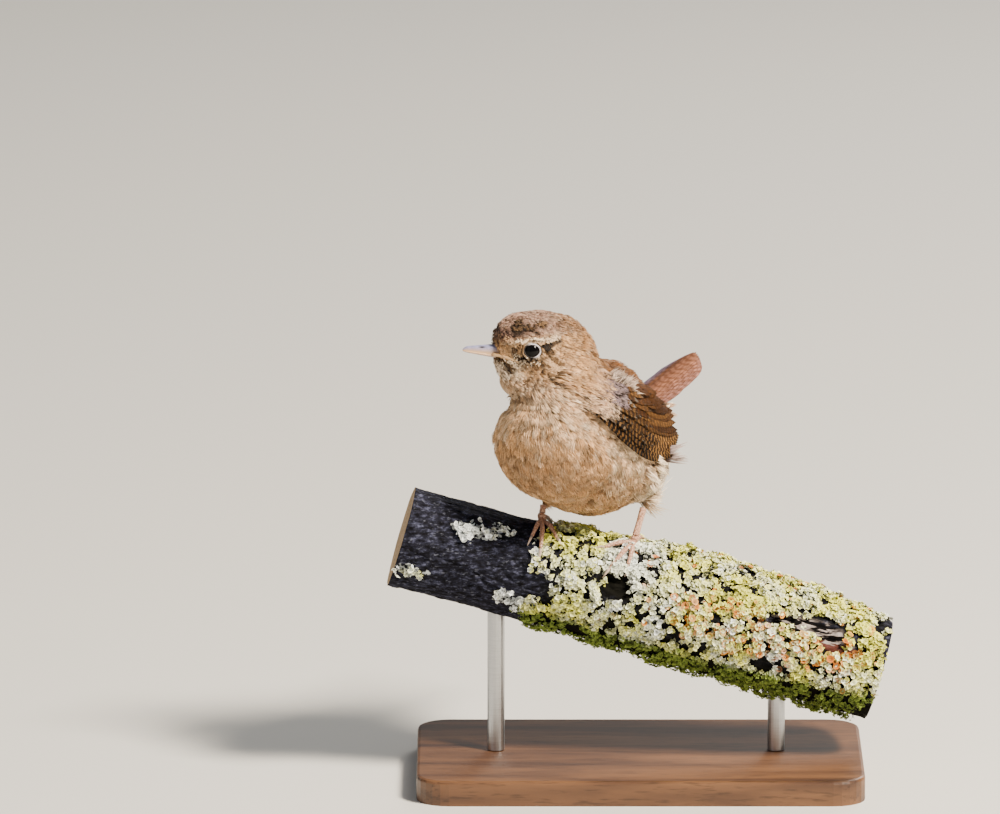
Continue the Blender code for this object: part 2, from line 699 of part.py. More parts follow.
def make_perch():
    shape = bmesh.new()
    radii = {"radius1": PERCH_RADIUS, "radius2": PERCH_RADIUS}
    bmesh.ops.create_cone(shape, cap_ends=True, segments=PERCH_SIDES, depth=PERCH_LENGTH, **radii)
    sides = [edge for edge in shape.edges if abs(edge.verts[0].co.z - edge.verts[1].co.z) > MM]
    bmesh.ops.subdivide_edges(shape, edges=sides, cuts=PERCH_RINGS - 1)
    for vert in shape.verts:
        x = vert.co.z
        angle = math.atan2(vert.co.y, vert.co.x)
        radius = perch_radius(x, angle)
        bow = 0.9 * MM * math.sin(math.pi * (x / PERCH_LENGTH + 0.4))
        vert.co = PERCH @ Vector((x, math.sin(angle) * radius, math.cos(angle) * radius + bow))
    bmesh.ops.recalc_face_normals(shape, faces=shape.faces)
    perch = from_bmesh("perch", shape, HELPERS)
    seats = []
    for x in ROD_PLACES:
        level = seat_level(perch, x)
        seat = bmesh.new()
        radii = {"radius1": ROD_SEAT_RADIUS, "radius2": ROD_SEAT_RADIUS}
        bmesh.ops.create_cone(seat, cap_ends=True, segments=ROD_SIDES, depth=PERCH_RADIUS, **radii)
        bmesh.ops.translate(seat, vec=(x, 0, level - PERCH_RADIUS / 2), verts=seat.verts)
        seats.append(from_bmesh(f"seat_{x}", seat, HELPERS))
    return finish(boolean(perch, seats, "DIFFERENCE"), BARK, math.radians(50))


def seat_level(perch, x):
    """Height of the flat that a rod meets, just inside the lowest line of the perch."""
    tree = BVHTree.FromObject(perch, bpy.context.evaluated_depsgraph_get())
    hit = tree.ray_cast(Vector((x, 0, 0)), Vector((0, 0, 1)))[0]
    return hit.z + ROD_SEAT_DEPTH


# Legs and feet
def over_perch(tree, x, angle, height):
    """A world point that stands a height off the perch's skin, at a place along it and an angle over its front."""
    axis_point = PERCH @ Vector((x, 0, 0))
    out = direction(PERCH, (0, -math.sin(angle), math.cos(angle)))
    hit = tree.ray_cast(axis_point + out * PERCH_RADIUS * 2, -out)[0]
    return hit + out * height


def toe_points(tree, x, angle, heading, length, radius, steps=4):
    """The middle line of a toe that lies on the perch, from the ball of the foot to the claw's root."""
    points = []
    for i in range(steps + 1):
        run = length * i / steps
        place = x + run * math.sin(heading)
        turn = angle + run * math.cos(heading) / (PERCH_RADIUS + radius)
        arch = 0.7 * MM * math.sin(math.pi * i / steps)
        points.append(over_perch(tree, place, turn, radius + GAP + arch + 0.1 * MM))
    return points


def make_foot(tree, torso_clearance, side, name):
    x, angle, hip = FOOT_STANDS[side]
    hip = Vector(hip)
    ball = over_perch(tree, x, angle, TOE_RADIUS * 1.9 + GAP)
    rise = (hip - ball).normalized()
    core = tube(
        f"foot_{name}", [ball - rise * 0.4 * MM, ball + rise * FOOT_NECK / 2, ball + rise * FOOT_NECK],
        [TOE_RADIUS * 1.3, SHANK_RADIUS * 1.25, SHANK_RADIUS * 1.05],
    )
    toes = []
    for toe, heading, length in TOES:
        lie = heading if side == LEFT else -heading * 0.8 + math.radians(-12)
        if toe == "hind":
            lie = heading
        points = toe_points(tree, x, angle, lie, length, TOE_RADIUS)
        radii = [TOE_RADIUS * (1.12 if i % 2 == 0 else 0.88) for i in range(len(points))]
        radii[-1] = TOE_RADIUS * 0.75
        toes.append(tube(f"toe_{toe}_{name}", [ball] + points[1:], radii))
        make_claw(tree, points, lie, x, angle, length, f"claw_{toe}_{name}")
    finish(boolean(core, toes, "UNION"), LEG_SKIN, math.radians(60))
    surface = torso_clearance.ray_cast(ball, rise)[0]
    thigh_end = surface - rise * THIGH_SHOWN[side]
    shank_start = ball + rise * (FOOT_NECK + GAP)
    shank_end = thigh_end - rise * GAP
    middle = shank_start.lerp(shank_end, 0.5)
    radii = [SHANK_RADIUS, SHANK_RADIUS * 0.88, SHANK_RADIUS]
    shank = tube(f"shank_{name}", [shank_start, middle, shank_end], radii)
    finish(shank, LEG_SKIN, math.radians(60))
    return thigh_end, rise


def make_claw(tree, toe, lie, x, angle, length, name):
    """A hooked claw that leaves the toe's end and comes down to the perch."""
    end = toe[-1]
    along = (toe[-1] - toe[-2]).normalized()
    start = end + along * (GAP + 0.05 * MM)
    reach = length + CLAW_LENGTH * 0.85
    place = x + reach * math.sin(lie)
    turn = angle + reach * math.cos(lie) / (PERCH_RADIUS + TOE_RADIUS)
    point = over_perch(tree, place, turn, GAP + CLAW_RADIUS * 0.5)
    out = (over_perch(tree, place, turn, 2 * MM) - point).normalized()
    knee = start.lerp(point, 0.5) + out * 0.75 * MM
    points = [start, start.lerp(knee, 0.6) + out * 0.25 * MM, knee.lerp(point, 0.35) + out * 0.1 * MM, point]
    radii = [CLAW_RADIUS, CLAW_RADIUS * 0.9, CLAW_RADIUS * 0.62, CLAW_RADIUS * 0.2]
    finish(tube(name, points, radii, 1), CLAW_HORN, math.radians(60))


def make_thigh(torso_shell, end, rise, name):
    """The feathered end of the leg where it leaves the belly."""
    points = [end, end + rise * 2.2 * MM, end + rise * 4.5 * MM, end + rise * 6.5 * MM]
    radii = [SHANK_RADIUS * 1.25, THIGH_RADIUS * 0.8, THIGH_RADIUS, THIGH_RADIUS]
    cone = tube(f"thigh_{name}", points, radii, 3)
    cutter = add_object(f"thigh_cut_{name}", torso_shell.data.copy(), HELPERS)
    finish(boolean(cone, [cutter], "DIFFERENCE"), PLUMAGE_PALE, math.radians(40))


def make_legs(shell, shell_tree, perch):
    tree = BVHTree.FromObject(perch, bpy.context.evaluated_depsgraph_get())
    for side, name in ((LEFT, "left"), (RIGHT, "right")):
        end, rise = make_foot(tree, shell_tree, side, name)
        make_thigh(shell, end, rise, name)


# Stand
def make_stand():
    bpy.ops.mesh.primitive_cube_add(size=1.0)
    base = bpy.context.object
    base.name = "stand_base"
    shape = bmesh.new()
    shape.from_mesh(base.data)
    bmesh.ops.scale(shape, vec=BASE_SIZE, verts=shape.verts)
    bmesh.ops.translate(shape, vec=(0, 0, BASE_SIZE[2] / 2), verts=shape.verts)
    upright = [edge for edge in shape.edges if abs(edge.verts[0].co.z - edge.verts[1].co.z) > MM]
    bmesh.ops.bevel(
        shape, geom=upright, offset=BASE_CORNER, segments=6, profile=0.5, affect="EDGES", offset_type="OFFSET"
    )
    top = [edge for edge in shape.edges if all(vert.co.z > BASE_SIZE[2] - MM / 10 for vert in edge.verts)]
    bmesh.ops.bevel(shape, geom=top, offset=BASE_EDGE, segments=2, profile=0.5, affect="EDGES")
    shape.to_mesh(base.data)
    shape.free()
    finish(base, STAND_WOOD, math.radians(30))


def make_rods(perch):
    tree = BVHTree.FromObject(perch, bpy.context.evaluated_depsgraph_get())
    for x, name in zip(ROD_PLACES, ("stand_rod_left", "stand_rod_right")):
        top = tree.ray_cast(Vector((x, 0, 0)), Vector((0, 0, 1)))[0].z - GAP
        bottom = BASE_SIZE[2] + GAP
        rod = bmesh.new()
        radii = {"radius1": ROD_RADIUS, "radius2": ROD_RADIUS}
        bmesh.ops.create_cone(rod, cap_ends=True, segments=ROD_SIDES, depth=top - bottom, **radii)
        bmesh.ops.translate(rod, vec=(x, 0, (top + bottom) / 2), verts=rod.verts)
        finish(from_bmesh(name, rod, HELPERS), STEEL, math.radians(40))


def main():
    torso, _, _ = make_torso_neck_head()
    make_eyes()
    make_bill()
    make_wing(LEFT, "wing_left")
    make_wing(RIGHT, "wing_right")
    shell = clearance_of(torso)
    shell_tree = BVHTree.FromObject(shell, bpy.context.evaluated_depsgraph_get())
    make_tail(shell, shell_tree)
    perch = make_perch()
    make_legs(shell, shell_tree, perch)
    bpy.data.objects.remove(shell)
    make_stand()
    make_rods(perch)


main()
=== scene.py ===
# %% [markdown]
# # A Eurasian wren at life size on a display perch
#
# The solids were made first and give every size here. This lesson dresses them: a coat of small feathers
# over the flesh, barred wings and tail, bark with lichen on the cut branch, and an oiled walnut base.
# Everything is in metres, with +Z up, in the frame of the solids.

import math

import bmesh
import bpy
import numpy as np
from mathutils import Matrix, Vector, noise
from mathutils.bvhtree import BVHTree
from mathutils.kdtree import KDTree


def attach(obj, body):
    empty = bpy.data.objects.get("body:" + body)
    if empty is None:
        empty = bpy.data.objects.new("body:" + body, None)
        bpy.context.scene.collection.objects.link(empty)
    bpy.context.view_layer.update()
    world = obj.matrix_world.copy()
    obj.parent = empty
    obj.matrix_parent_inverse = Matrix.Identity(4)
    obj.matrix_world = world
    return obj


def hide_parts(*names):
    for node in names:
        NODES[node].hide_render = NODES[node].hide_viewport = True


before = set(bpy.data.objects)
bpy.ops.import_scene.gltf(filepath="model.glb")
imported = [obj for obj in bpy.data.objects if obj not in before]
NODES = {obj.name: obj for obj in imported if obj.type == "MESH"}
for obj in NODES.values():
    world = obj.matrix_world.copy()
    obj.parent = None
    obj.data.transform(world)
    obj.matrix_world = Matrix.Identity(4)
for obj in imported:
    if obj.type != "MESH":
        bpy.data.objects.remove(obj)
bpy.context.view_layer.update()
MM = 0.001
LEFT, RIGHT = 1, -1
BOTH_SIDES = ((LEFT, "left"), (RIGHT, "right"))

# %% [markdown]
# ## Camera, light and floor
#
# The bird was seen from a few metres through a long lens, so the camera stands 3 m off with a 400 mm lens
# and looks down by 12 degrees. One big soft light stands high on the right, as the sun did, a weak one
# fills from the left, and the floor is a plain pale sheet of seamless paper.


# %% Colours from hex values
def hue(code):
    """A colour written as sRGB hex, as linear red, green, blue and alpha."""
    parts = [int(code[i : i + 2], 16) / 255 for i in (1, 3, 5)]
    return tuple(c / 12.92 if c <= 0.04045 else ((c + 0.055) / 1.055) ** 2.4 for c in parts) + (1.0,)


# %% The inputs of a node
def connect(tree, node, inputs):
    """Sets inputs. A value may also be an output, or a node that is linked by its first output in use."""
    for key, value in inputs.items():
        if isinstance(value, bpy.types.Node):
            value = next(output for output in value.outputs if output.enabled)
        if isinstance(value, bpy.types.NodeSocket):
            tree.links.new(value, node.inputs[key])
        else:
            node.inputs[key].default_value = value


# %% A node with its settings and links
def add(tree, kind, inputs=None, **settings):
    """Adds one shader node, makes its settings, then sets and links its inputs."""
    made = tree.nodes.new("ShaderNode" + kind)
    for key, value in settings.items():
        setattr(made, key, value)
    connect(tree, made, inputs or {})
    return made


# %% A new material and its shader
def new_material(name, roughness, **sockets):
    """A material with one Principled shader. Returns it, its tree and the shader."""
    material = bpy.data.materials.new(name)
    material.use_nodes = True
    tree = material.node_tree
    shader = tree.nodes["Principled BSDF"]
    connect(tree, shader, {"Roughness": roughness})
    connect(tree, shader, {key.replace("_", " "): value for key, value in sockets.items()})
    return material, tree, shader


# %% A new object in the scene
def new_object(name, data):
    made = bpy.data.objects.new(name, data)
    bpy.context.scene.collection.objects.link(made)
    return made


# %% Camera
PICTURE = (1000, 814)  # the width and height of the picture in pixels
SENSOR = 36  # its width in millimetres
VIEW_TARGET = Vector((-38.89, 11.32, 102.25)) * MM
VIEW_DROP = math.radians(12)
VIEW_DISTANCE = 3.09
camera_data = bpy.data.cameras.new("camera")
camera_data.lens = 400.4
camera_data.sensor_width = SENSOR
camera_data.clip_start = 0.1
camera_data.clip_end = 50
camera = new_object("camera", camera_data)
looking = Vector((0, math.cos(VIEW_DROP), -math.sin(VIEW_DROP)))
camera.location = VIEW_TARGET - looking * VIEW_DISTANCE
camera.rotation_euler = looking.to_track_quat("-Z", "Y").to_euler()
bpy.context.scene.camera = camera
print("camera at", [round(v, 3) for v in camera.location])


# %% Lights
BIRD_MIDDLE = Vector((-0.02, 0.0, 0.1))


def soft_light(name, place, size, power, tint):
    """A square lamp that looks at the bird. Its place and size are in metres and its power in watts."""
    data = bpy.data.lights.new(name, "AREA")
    data.size = size
    data.energy = power
    data.color = hue(tint)[:3]
    light = new_object(name, data)
    light.location = place
    light.rotation_euler = (BIRD_MIDDLE - Vector(place)).to_track_quat("-Z", "Y").to_euler()


soft_light("key", (0.8, -0.6, 1.15), 0.3, 74.0, "#fff2df")
soft_light("fill", (-1.3, -1.2, 0.7), 1.4, 3.0, "#f1f5ff")
soft_light("rim", (0.5, 1.2, 0.9), 0.6, 10.0, "#fffaf2")
world = bpy.data.worlds.new("studio")
bpy.context.scene.world = world
world.use_nodes = True
background = world.node_tree.nodes["Background"]
connect(world.node_tree, background, {"Color": hue("#e9ecef"), "Strength": 0.27})
print("lamps:", len(bpy.data.lights))

# %% Floor
bpy.ops.object.select_all(action="DESELECT")
bpy.ops.mesh.primitive_plane_add(size=14, location=(0, 0, 0))
floor = bpy.context.object
floor.name = "floor"
floor.data.name = "floor"
paper = new_material("seamless paper", 0.85, Base_Color=hue("#dcdad4"))[0]
floor.data.materials.append(paper)

# %% [markdown]
# ## Where the bird's parts are
#
# A bird is easiest to feather in its own directions: forward, to its left, and up. The body, the head and
# the tail each have such a frame, and so has the sloping perch. They are the frames of the solids.


# %% Frames of the body, head, tail and perch
def frame_at(origin, heading, pitch):
    """X forward, Y to the bird's left, Z up. Heading turns from -Y towards -X."""
    turn = Matrix.Rotation(-math.pi / 2 - heading, 4, "Z")
    lift = Matrix.Rotation(-pitch, 4, "Y")
    return Matrix.Translation(origin) @ turn @ lift


BODY = frame_at((-15.8 * MM, 0.0, 93.0 * MM), math.radians(35), math.radians(20))
HEAD = frame_at((-26.8 * MM, -9.1 * MM, 125.0 * MM), math.radians(76), math.radians(7))
TAIL = frame_at((-6.2 * MM, 18.0 * MM, 97.4 * MM), math.radians(50), -math.radians(25.5))
PERCH_SLOPE = math.atan(0.294)
PERCH = Matrix.Translation((0, 0, 49.0 * MM)) @ Matrix.Rotation(PERCH_SLOPE, 4, "Y")


def places_in(matrix, points):
    """World points as millimetres in a frame."""
    inverse = np.array(matrix.inverted())
    return (points @ inverse[:3, :3].T + inverse[:3, 3]) / MM


def out_of(matrix, points):
    """Millimetres in a frame as world points."""
    place = np.array(matrix)
    return (np.asarray(points, float) * MM) @ place[:3, :3].T + place[:3, 3]


def turned_by(matrix, vectors):
    return np.asarray(vectors, float) @ np.array(matrix)[:3, :3].T


def unit(vectors):
    return vectors / np.maximum(np.linalg.norm(vectors, axis=-1, keepdims=True), 1e-12)


def rise(value, low, high):
    """0 below low, 1 above high and a smooth rise between."""
    share = np.clip((np.asarray(value, float) - low) / (high - low), 0, 1)
    return share * share * (3 - 2 * share)


def cloud(points, size, seed=0):
    """Smooth noise from -1 to 1 whose blobs are about size millimetres across."""
    offset = Vector((seed * 3.7, seed * 1.3, seed * 7.9))
    return np.array([noise.noise(Vector(p) / (size * MM) + offset) for p in points])


# %% [markdown]
# ## Markings
#
# A wren is warm brown above and buff below, with a pale brow over the eye, a speckled cheek and dusky bars
# on the flanks. The markings are worked out once, from places on the head and the body, as four amounts:
# how rufous, how pale, how dusky and how grey. Skin and feathers read the same amounts, so they agree.

# %% Markings
EYE = np.array((4.9, 6.7, -1.4))  # forward, outward and up from the middle of the head, in millimetres
BROW = ((-12.0, 5.6), (-4.0, 3.7), (-0.5, 2.5), (2.6, 1.5), (5.6, 1.1), (7.6, 0.4), (8.9, 0.4), (14.0, -1.4))
# Each line on the face: its start and end forward and up in the head, its width, and how strong it is.
EYE_STRIPE = (
    ((2.8, -0.1), (0.4, -0.4), 0.7, 1.0), ((0.7, 0.3), (-1.9, 1.3), 0.5, 0.8),
    ((1.0, -0.8), (-0.6, -1.7), 0.4, 0.8), ((-2.0, 0.4), (-8.0, 0.0), 0.7, 0.35),
)
UNDER_EYE = (((9.2, -2.6), (6.7, -4.3), 0.9, 1.0), ((6.5, -4.4), (3.4, -3.6), 0.7, 1.0))
FLANK_BARS = 1.9  # the spacing of the bars on the flank, in millimetres


def along_line(line, value):
    """The height of a line of places at some distances along it."""
    stations, heights = np.array(line).T
    return np.interp(value, stations, heights)


def bell(value, width):
    return np.exp(-((value / width) ** 2))


def blob(a, c, place, size):
    """1 in the middle of an oval of that size and place, seen from the side, and 0 well outside it."""
    return np.exp(-(((a - place[0]) / size[0]) ** 2) - ((c - place[1]) / size[1]) ** 2)


def near_line(a, c, start, end, width):
    """1 on a straight line from start to end, seen from the side, and 0 well off it."""
    start, run = np.array(start), np.subtract(end, start)
    share = np.clip(((a - start[0]) * run[0] + (c - start[1]) * run[1]) / np.dot(run, run), 0, 1)
    return bell(np.hypot(a - start[0] - share * run[0], c - start[1] - share * run[1]), width)


def near_lines(a, c, lines):
    return sum(strength * near_line(a, c, start, end, width) for start, end, width, strength in lines)


def markings(points):
    """Rufous, pale, dusky and grey, each from 0 to 1, at world points. Here h and b are places in the head
    and the body, and a and c are how far forward and up in the head."""
    h, b = places_in(HEAD, points), places_in(BODY, points)
    speck, blot, wide = cloud(points, 0.8, 1), cloud(points, 3.0, 2), cloud(points, 9.0, 3)
    a, c = h[:, 0], h[:, 2]
    on_head = rise(c, -13.0, -8.0) * rise(a, -15.0, -9.0)
    side = rise(np.abs(h[:, 1]), 3.0, 5.0)
    over_brow = c - along_line(BROW, a)
    crown = np.maximum(rise(over_brow, 0.2, 2.0), rise(c, 2.2, 4.0)) * on_head
    brow = bell(over_brow, 0.5 + 0.55 * bell(a + 0.3, 2.4)) * side * on_head * rise(a, -6, -1)
    lore = near_line(a, c, (8.2, -1.4), (12.0, -2.4), 0.6) * side
    stripe = near_lines(a, c, EYE_STRIPE)
    # The dark patch on the forehead is painted shadow among its ruffled feathers.
    forehead_shadow = 1.1 * blob(a, c, (8.5, 4.1), (1.5, 1.8)) + 0.35 * blob(a, c, (10.5, 2.6), (3.0, 2.6))
    forehead_shadow = forehead_shadow + 0.7 * near_line(a, c, (6.9, 4.1), (3.6, 3.5), 0.6)
    by_horn = blob(a, c, (12.6, 0.8), (2.2, 2.2))
    under_eye = np.clip(near_lines(a, c, UNDER_EYE), 0, 1) * side
    malar = near_line(a, c, (12.2, -5.6), (9.2, -8.9), 0.5) * side
    cheek = blob(a, c, (0.5, -4.8), (6.5, 3.6)) * side * on_head
    chin = rise(-c, 4.6, 6.5) * rise(a, 4.0, 8.0) * on_head
    above = rise(b[:, 2] - 0.10 * b[:, 0], 8.5, 13.5)
    mantle = above * (1 - rise(b[:, 0], 6.0, 13.0) * 0.75) * (1 - on_head)
    nape = rise(-a, 7.0, 12.0) * rise(c, -6.0, 0.0)
    rump = rise(-b[:, 0], 16.0, 24.0) * rise(b[:, 2], 3.0, 8.0)
    under = 1 - above
    breast = under * rise(b[:, 0], 0.0, 12.0) * rise(b[:, 2], -9.0, 3.0)
    flank = under * rise(np.abs(b[:, 1]), 9.0, 15.0) * (1 - rise(b[:, 0], 6.0, 14.0))
    vent = under * rise(-b[:, 0], 8.0, 17.0)
    belly = under * rise(-b[:, 2], 2.0, 10.0) * (1 - vent)
    bars = 0.5 + 0.5 * np.sin(2 * np.pi * (b[:, 0] + 0.35 * b[:, 2] + 0.8 * blot) / FLANK_BARS)
    rufous = mantle * 0.95 + rump + 0.42 * crown + 0.5 * by_horn + 0.3 * nape + 0.22 * belly
    rufous = np.clip(rufous + 0.1 * vent + 0.14 * wide, 0, 1)
    pale = 0.28 * breast + 0.62 * brow + 0.62 * chin + 0.15 * cheek + 0.52 * flank + 0.9 * vent - 0.3 * belly
    pale = pale + (0.25 * under + 0.4 * cheek + 0.9 * under_eye + 0.1 * crown) * rise(speck, 0.05, 0.35)
    pale = pale * (1 - np.clip(forehead_shadow, 0, 1))
    dark_speck = rise(-speck, 0.0, 0.35)
    dusky = 0.21 * crown + 0.95 * stripe * side + 0.5 * lore + 0.85 * forehead_shadow + malar
    dusky = dusky + 0.95 * under_eye * rise(-speck, -0.2, 0.1)
    crown_specks = (0.08 + 0.2 * (speck < -0.1)) * crown
    speckled = 0.7 * by_horn + crown_specks + 0.5 * cheek + 0.5 * chin + 0.15 * breast
    barred = 0.16 * flank * (1 - vent) + 0.05 * vent + 0.2 * belly + 0.12 * rump
    dusky = dusky + speckled * dark_speck
    dusky = dusky + bars * barred + mantle * (0.3 + 0.12 * rise(blot, 0, 0.5))
    dusky = dusky * (1 - 0.8 * brow * (1 - np.clip(stripe, 0, 1)))
    # Grey is lilac grey on the front of the crown, partly painted highlight, and a little on the upper
    # breast.
    grey = np.clip(0.42 * crown * (1 - 0.8 * rise(-a, -1, 7)) + 0.1 * breast * rise(c + 17, -3, 3), 0, 1)
    return np.clip(np.stack([rufous, pale, dusky, grey], axis=1), 0, 1)


# %% [markdown]
# ## The skin
#
# The flesh is five solids with thin gaps between them. Real skin has no seam, so copies of the solids are
# swelled until they touch, fused by a voxel remesh, smoothed, and then sunk by the depth of the coat: about
# a millimetre on the body and less on the face. The solids stay hidden inside for the collision shapes.

# %% One skin from five solids
FLESH = ("torso", "neck", "head", "thigh_left", "thigh_right")
SWELL = 0.25 * MM
bpy.ops.object.select_all(action="DESELECT")
for name in FLESH:
    copy = new_object("skin_" + name, NODES[name].data.copy())
    copy.select_set(True)
    if name == FLESH[0]:
        bpy.context.view_layer.objects.active = copy
bpy.ops.object.join()
skin = bpy.context.object
skin.name = "skin"
skin.data.name = "skin"
bpy.ops.object.mode_set(mode="EDIT")
bpy.ops.mesh.select_all(action="SELECT")
bpy.ops.mesh.remove_doubles(threshold=0.00001)
bpy.ops.object.mode_set(mode="OBJECT")


def apply_modifier(obj, kind, **settings):
    modifier = obj.modifiers.new(kind.title(), kind)
    for key, value in settings.items():
        setattr(modifier, key, value)
    bpy.context.view_layer.objects.active = obj
    bpy.ops.object.modifier_apply(modifier=modifier.name)


def rows_of(items, name, width, kind=float):
    """One setting of many mesh items, as rows of numbers."""
    found = np.empty(len(items) * width, kind)
    items.foreach_get(name, found)
    return found.reshape(-1, width)


def points_of(mesh):
    return rows_of(mesh.vertices, "co", 3)


def normals_of(mesh):
    return rows_of(mesh.vertex_normals, "vector", 3)


apply_modifier(skin, "DISPLACE", mid_level=0.0, strength=SWELL)
apply_modifier(skin, "REMESH", mode="VOXEL", voxel_size=0.55 * MM)
apply_modifier(skin, "SMOOTH", factor=0.5, iterations=10)


# %% Sink the skin by the depth of the coat
def on_face(points):
    """1 on the face and 0 behind it."""
    h = places_in(HEAD, points)
    return rise(h[:, 0], -3.0, 5.0) * rise(h[:, 2], -12.0, -6.0)


def over_neck(h):
    """Height over a plane through the neck that slopes with the throat, from places in the head."""
    return h[:, 2] + 0.35 * h[:, 0]


def on_head_share(points):
    """1 on the head and 0 on the body."""
    return rise(over_neck(places_in(HEAD, points)), -16.0, -8.0)


def coat_depth(points):
    """1.15 mm on the body and 0.4 mm on the face."""
    return (1.15 - 0.75 * on_face(points)) * MM


places = points_of(skin.data)
places -= normals_of(skin.data) * (coat_depth(places) + SWELL)[:, None]
skin.data.vertices.foreach_set("co", places.ravel())
skin.data.update()
apply_modifier(skin, "SMOOTH", factor=0.4, iterations=3)
skin.data.shade_smooth()
print("skin:", len(skin.data.polygons), "faces")

# %% An unwrap of the skin, which the feathers share
bpy.ops.object.mode_set(mode="EDIT")
bpy.ops.mesh.select_all(action="SELECT")
bpy.ops.uv.smart_project(angle_limit=math.radians(66), island_margin=0.002)
bpy.ops.object.mode_set(mode="OBJECT")
skin.data.uv_layers.active.name = "OFBake"


# %% Write the markings on the skin
def write_marks(mesh, marks, name="Marks"):
    """Four amounts for each vertex, which a material reads as red, green, blue and alpha."""
    layer = mesh.attributes.new(name, "FLOAT_COLOR", "POINT")
    layer.data.foreach_set("color", np.ascontiguousarray(marks, np.float32).ravel())


def write_value(mesh, name, values):
    """One amount for each vertex."""
    layer = mesh.attributes.new(name, "FLOAT", "POINT")
    layer.data.foreach_set("value", np.asarray(values, np.float32))


write_marks(skin.data, markings(points_of(skin.data)))
print("skin marks:", len(skin.data.vertices), "points")

# %% [markdown]
# ## Plumage
#
# Contour feathers are matt keratin: each ends in loose barbs that catch the light one by one, so the coat
# looks soft with fine streaks. The material mixes buff, rufous, cream, umber and grey by the markings, makes
# the root of every barb darker, partly for the dark feather bases and partly as painted shade between the
# tufts, makes its tip paler, and lets each patch differ a little from the next. The down under the coat is
# painted dark as shade. The scale of a noise is how many blobs fit in a metre, and a comment beside it gives
# the size of one.


# %% Plumage material
def make_plumage(name, is_skin):
    material, tree, shader = new_material(name, 0.72, Specular_IOR_Level=0.15)
    marks = add(tree, "Attribute", attribute_name="Marks")
    amounts = add(tree, "SeparateColor", {"Color": marks.outputs["Color"]})
    place = add(tree, "TexCoord").outputs["Object"]
    patch = add(tree, "TexNoise", {"Vector": place, "Scale": 420.0, "Detail": 2.0})  # 2.4 mm across
    fine = add(tree, "TexNoise", {"Vector": place, "Scale": 1500.0, "Detail": 1.0})  # 0.67 mm across
    mixed = add(tree, "Mix", {0: patch, 6: hue("#c8925d"), 7: hue("#ecc393")}, data_type="RGBA")
    pale_amount = amounts.outputs["Green"]
    if is_skin:
        # The down is darkened to between a fifth and a half of its colour: painted shade under the coat.
        shade = add(tree, "MapRange", {"Value": fine, "To Min": 0.2, "To Max": 0.5})
    else:
        along = add(tree, "Attribute", attribute_name="Along").outputs["Fac"]
        own = add(tree, "Attribute", attribute_name="Own").outputs["Fac"]
        tip = add(tree, "MapRange", {"Value": along, "To Min": 0.25, "To Max": 1.3})
        pale_amount = add(tree, "Math", {0: pale_amount, 1: tip}, operation="MULTIPLY", use_clamp=True)
        # Barbs are darker towards the root: partly dark feather bases, partly painted shade between the
        # tufts.
        root_base_and_shade = add(tree, "MapRange", {"Value": along, "To Min": 0.24, "To Max": 1.28})
        each = add(tree, "MapRange", {"Value": own, "To Min": 0.6, "To Max": 1.4})
        shade = add(tree, "Math", {0: root_base_and_shade, 1: each}, operation="MULTIPLY")
        connect(tree, shader, {"Sheen Weight": 0.05})
    # The lilac grey stands partly for sheen: painted highlight on the crown and on the bend of the wing.
    steps = (
        (amounts.outputs["Red"], "#8a5325"),
        (marks.outputs["Alpha"], "#a48d93"),
        (pale_amount, "#fbe8cd"),
        (amounts.outputs["Blue"], "#2a1e17"),
    )
    for amount, code in steps:
        mixed = add(tree, "Mix", {0: amount, 6: mixed, 7: hue(code)}, data_type="RGBA")
    toned = add(tree, "HueSaturation", {"Color": mixed, "Value": shade})
    bump = add(tree, "Bump", {"Height": fine, "Strength": 0.25, "Distance": 0.0001})
    connect(tree, shader, {"Base Color": toned, "Normal": bump})
    return material


def dress(piece, material):
    """Gives a piece one material in place of those it has."""
    piece.data.materials.clear()
    piece.data.materials.append(material)


barb_material = make_plumage("contour feather barbs", False)
dress(skin, make_plumage("plumage down", True))
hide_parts(*FLESH)
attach(skin, "root")

# %% [markdown]
# ## The coat of feathers
#
# A small feather is a fan of barbs from one root. Thousands of roots are strewn over the skin by its area,
# and each fan lies back along the lie of the coat: from the bill over the head, down the throat and breast,
# and back along the sides. All fans of a region become one mesh, filled straight from arrays.


# %% Which way the feathers lie
def lie_of_coat(points, normals):
    """Unit directions along the skin, from each feather's root to its tip."""
    h, b = places_in(HEAD, points), places_in(BODY, points)
    head_way = turned_by(HEAD, np.tile((-1.0, 0.0, -0.35), (len(points), 1)))
    body_ways = np.tile((-1.0, 0.0, 0.0), (len(points), 1))
    under = 1 - rise(b[:, 2], 0.0, 12.0)
    body_ways[:, 2] = -0.75 * under * rise(b[:, 0], -12.0, 6.0) - 0.1
    body_ways[:, 2] += 0.35 * rise(-b[:, 0], 4.0, 16.0) * (1 - rise(b[:, 2], 4.0, 10.0))
    body_way = turned_by(BODY, body_ways)
    share = rise(over_neck(h), -19.0, -3.0)[:, None]
    way = head_way * share + body_way * (1 - share)
    way = way - normals * np.sum(way * normals, axis=1, keepdims=True)
    return unit(way)


# %% Where feathers root
WRIST = np.array((19.5, 14.0))  # forward and up from the middle of the body, in millimetres
WING_DROOP = math.radians(9)
WING_BACK = np.array((-math.cos(WING_DROOP), -math.sin(WING_DROOP)))
WING_UP = np.array((-math.sin(WING_DROOP), math.cos(WING_DROOP)))


def wing_place(points, side):
    """Places back from the wrist, up across the folded wing, and outward, in millimetres."""
    b = places_in(BODY, points)
    flat = b[:, [0, 2]] - WRIST
    return flat @ WING_BACK, flat @ WING_UP, b[:, 1] * side


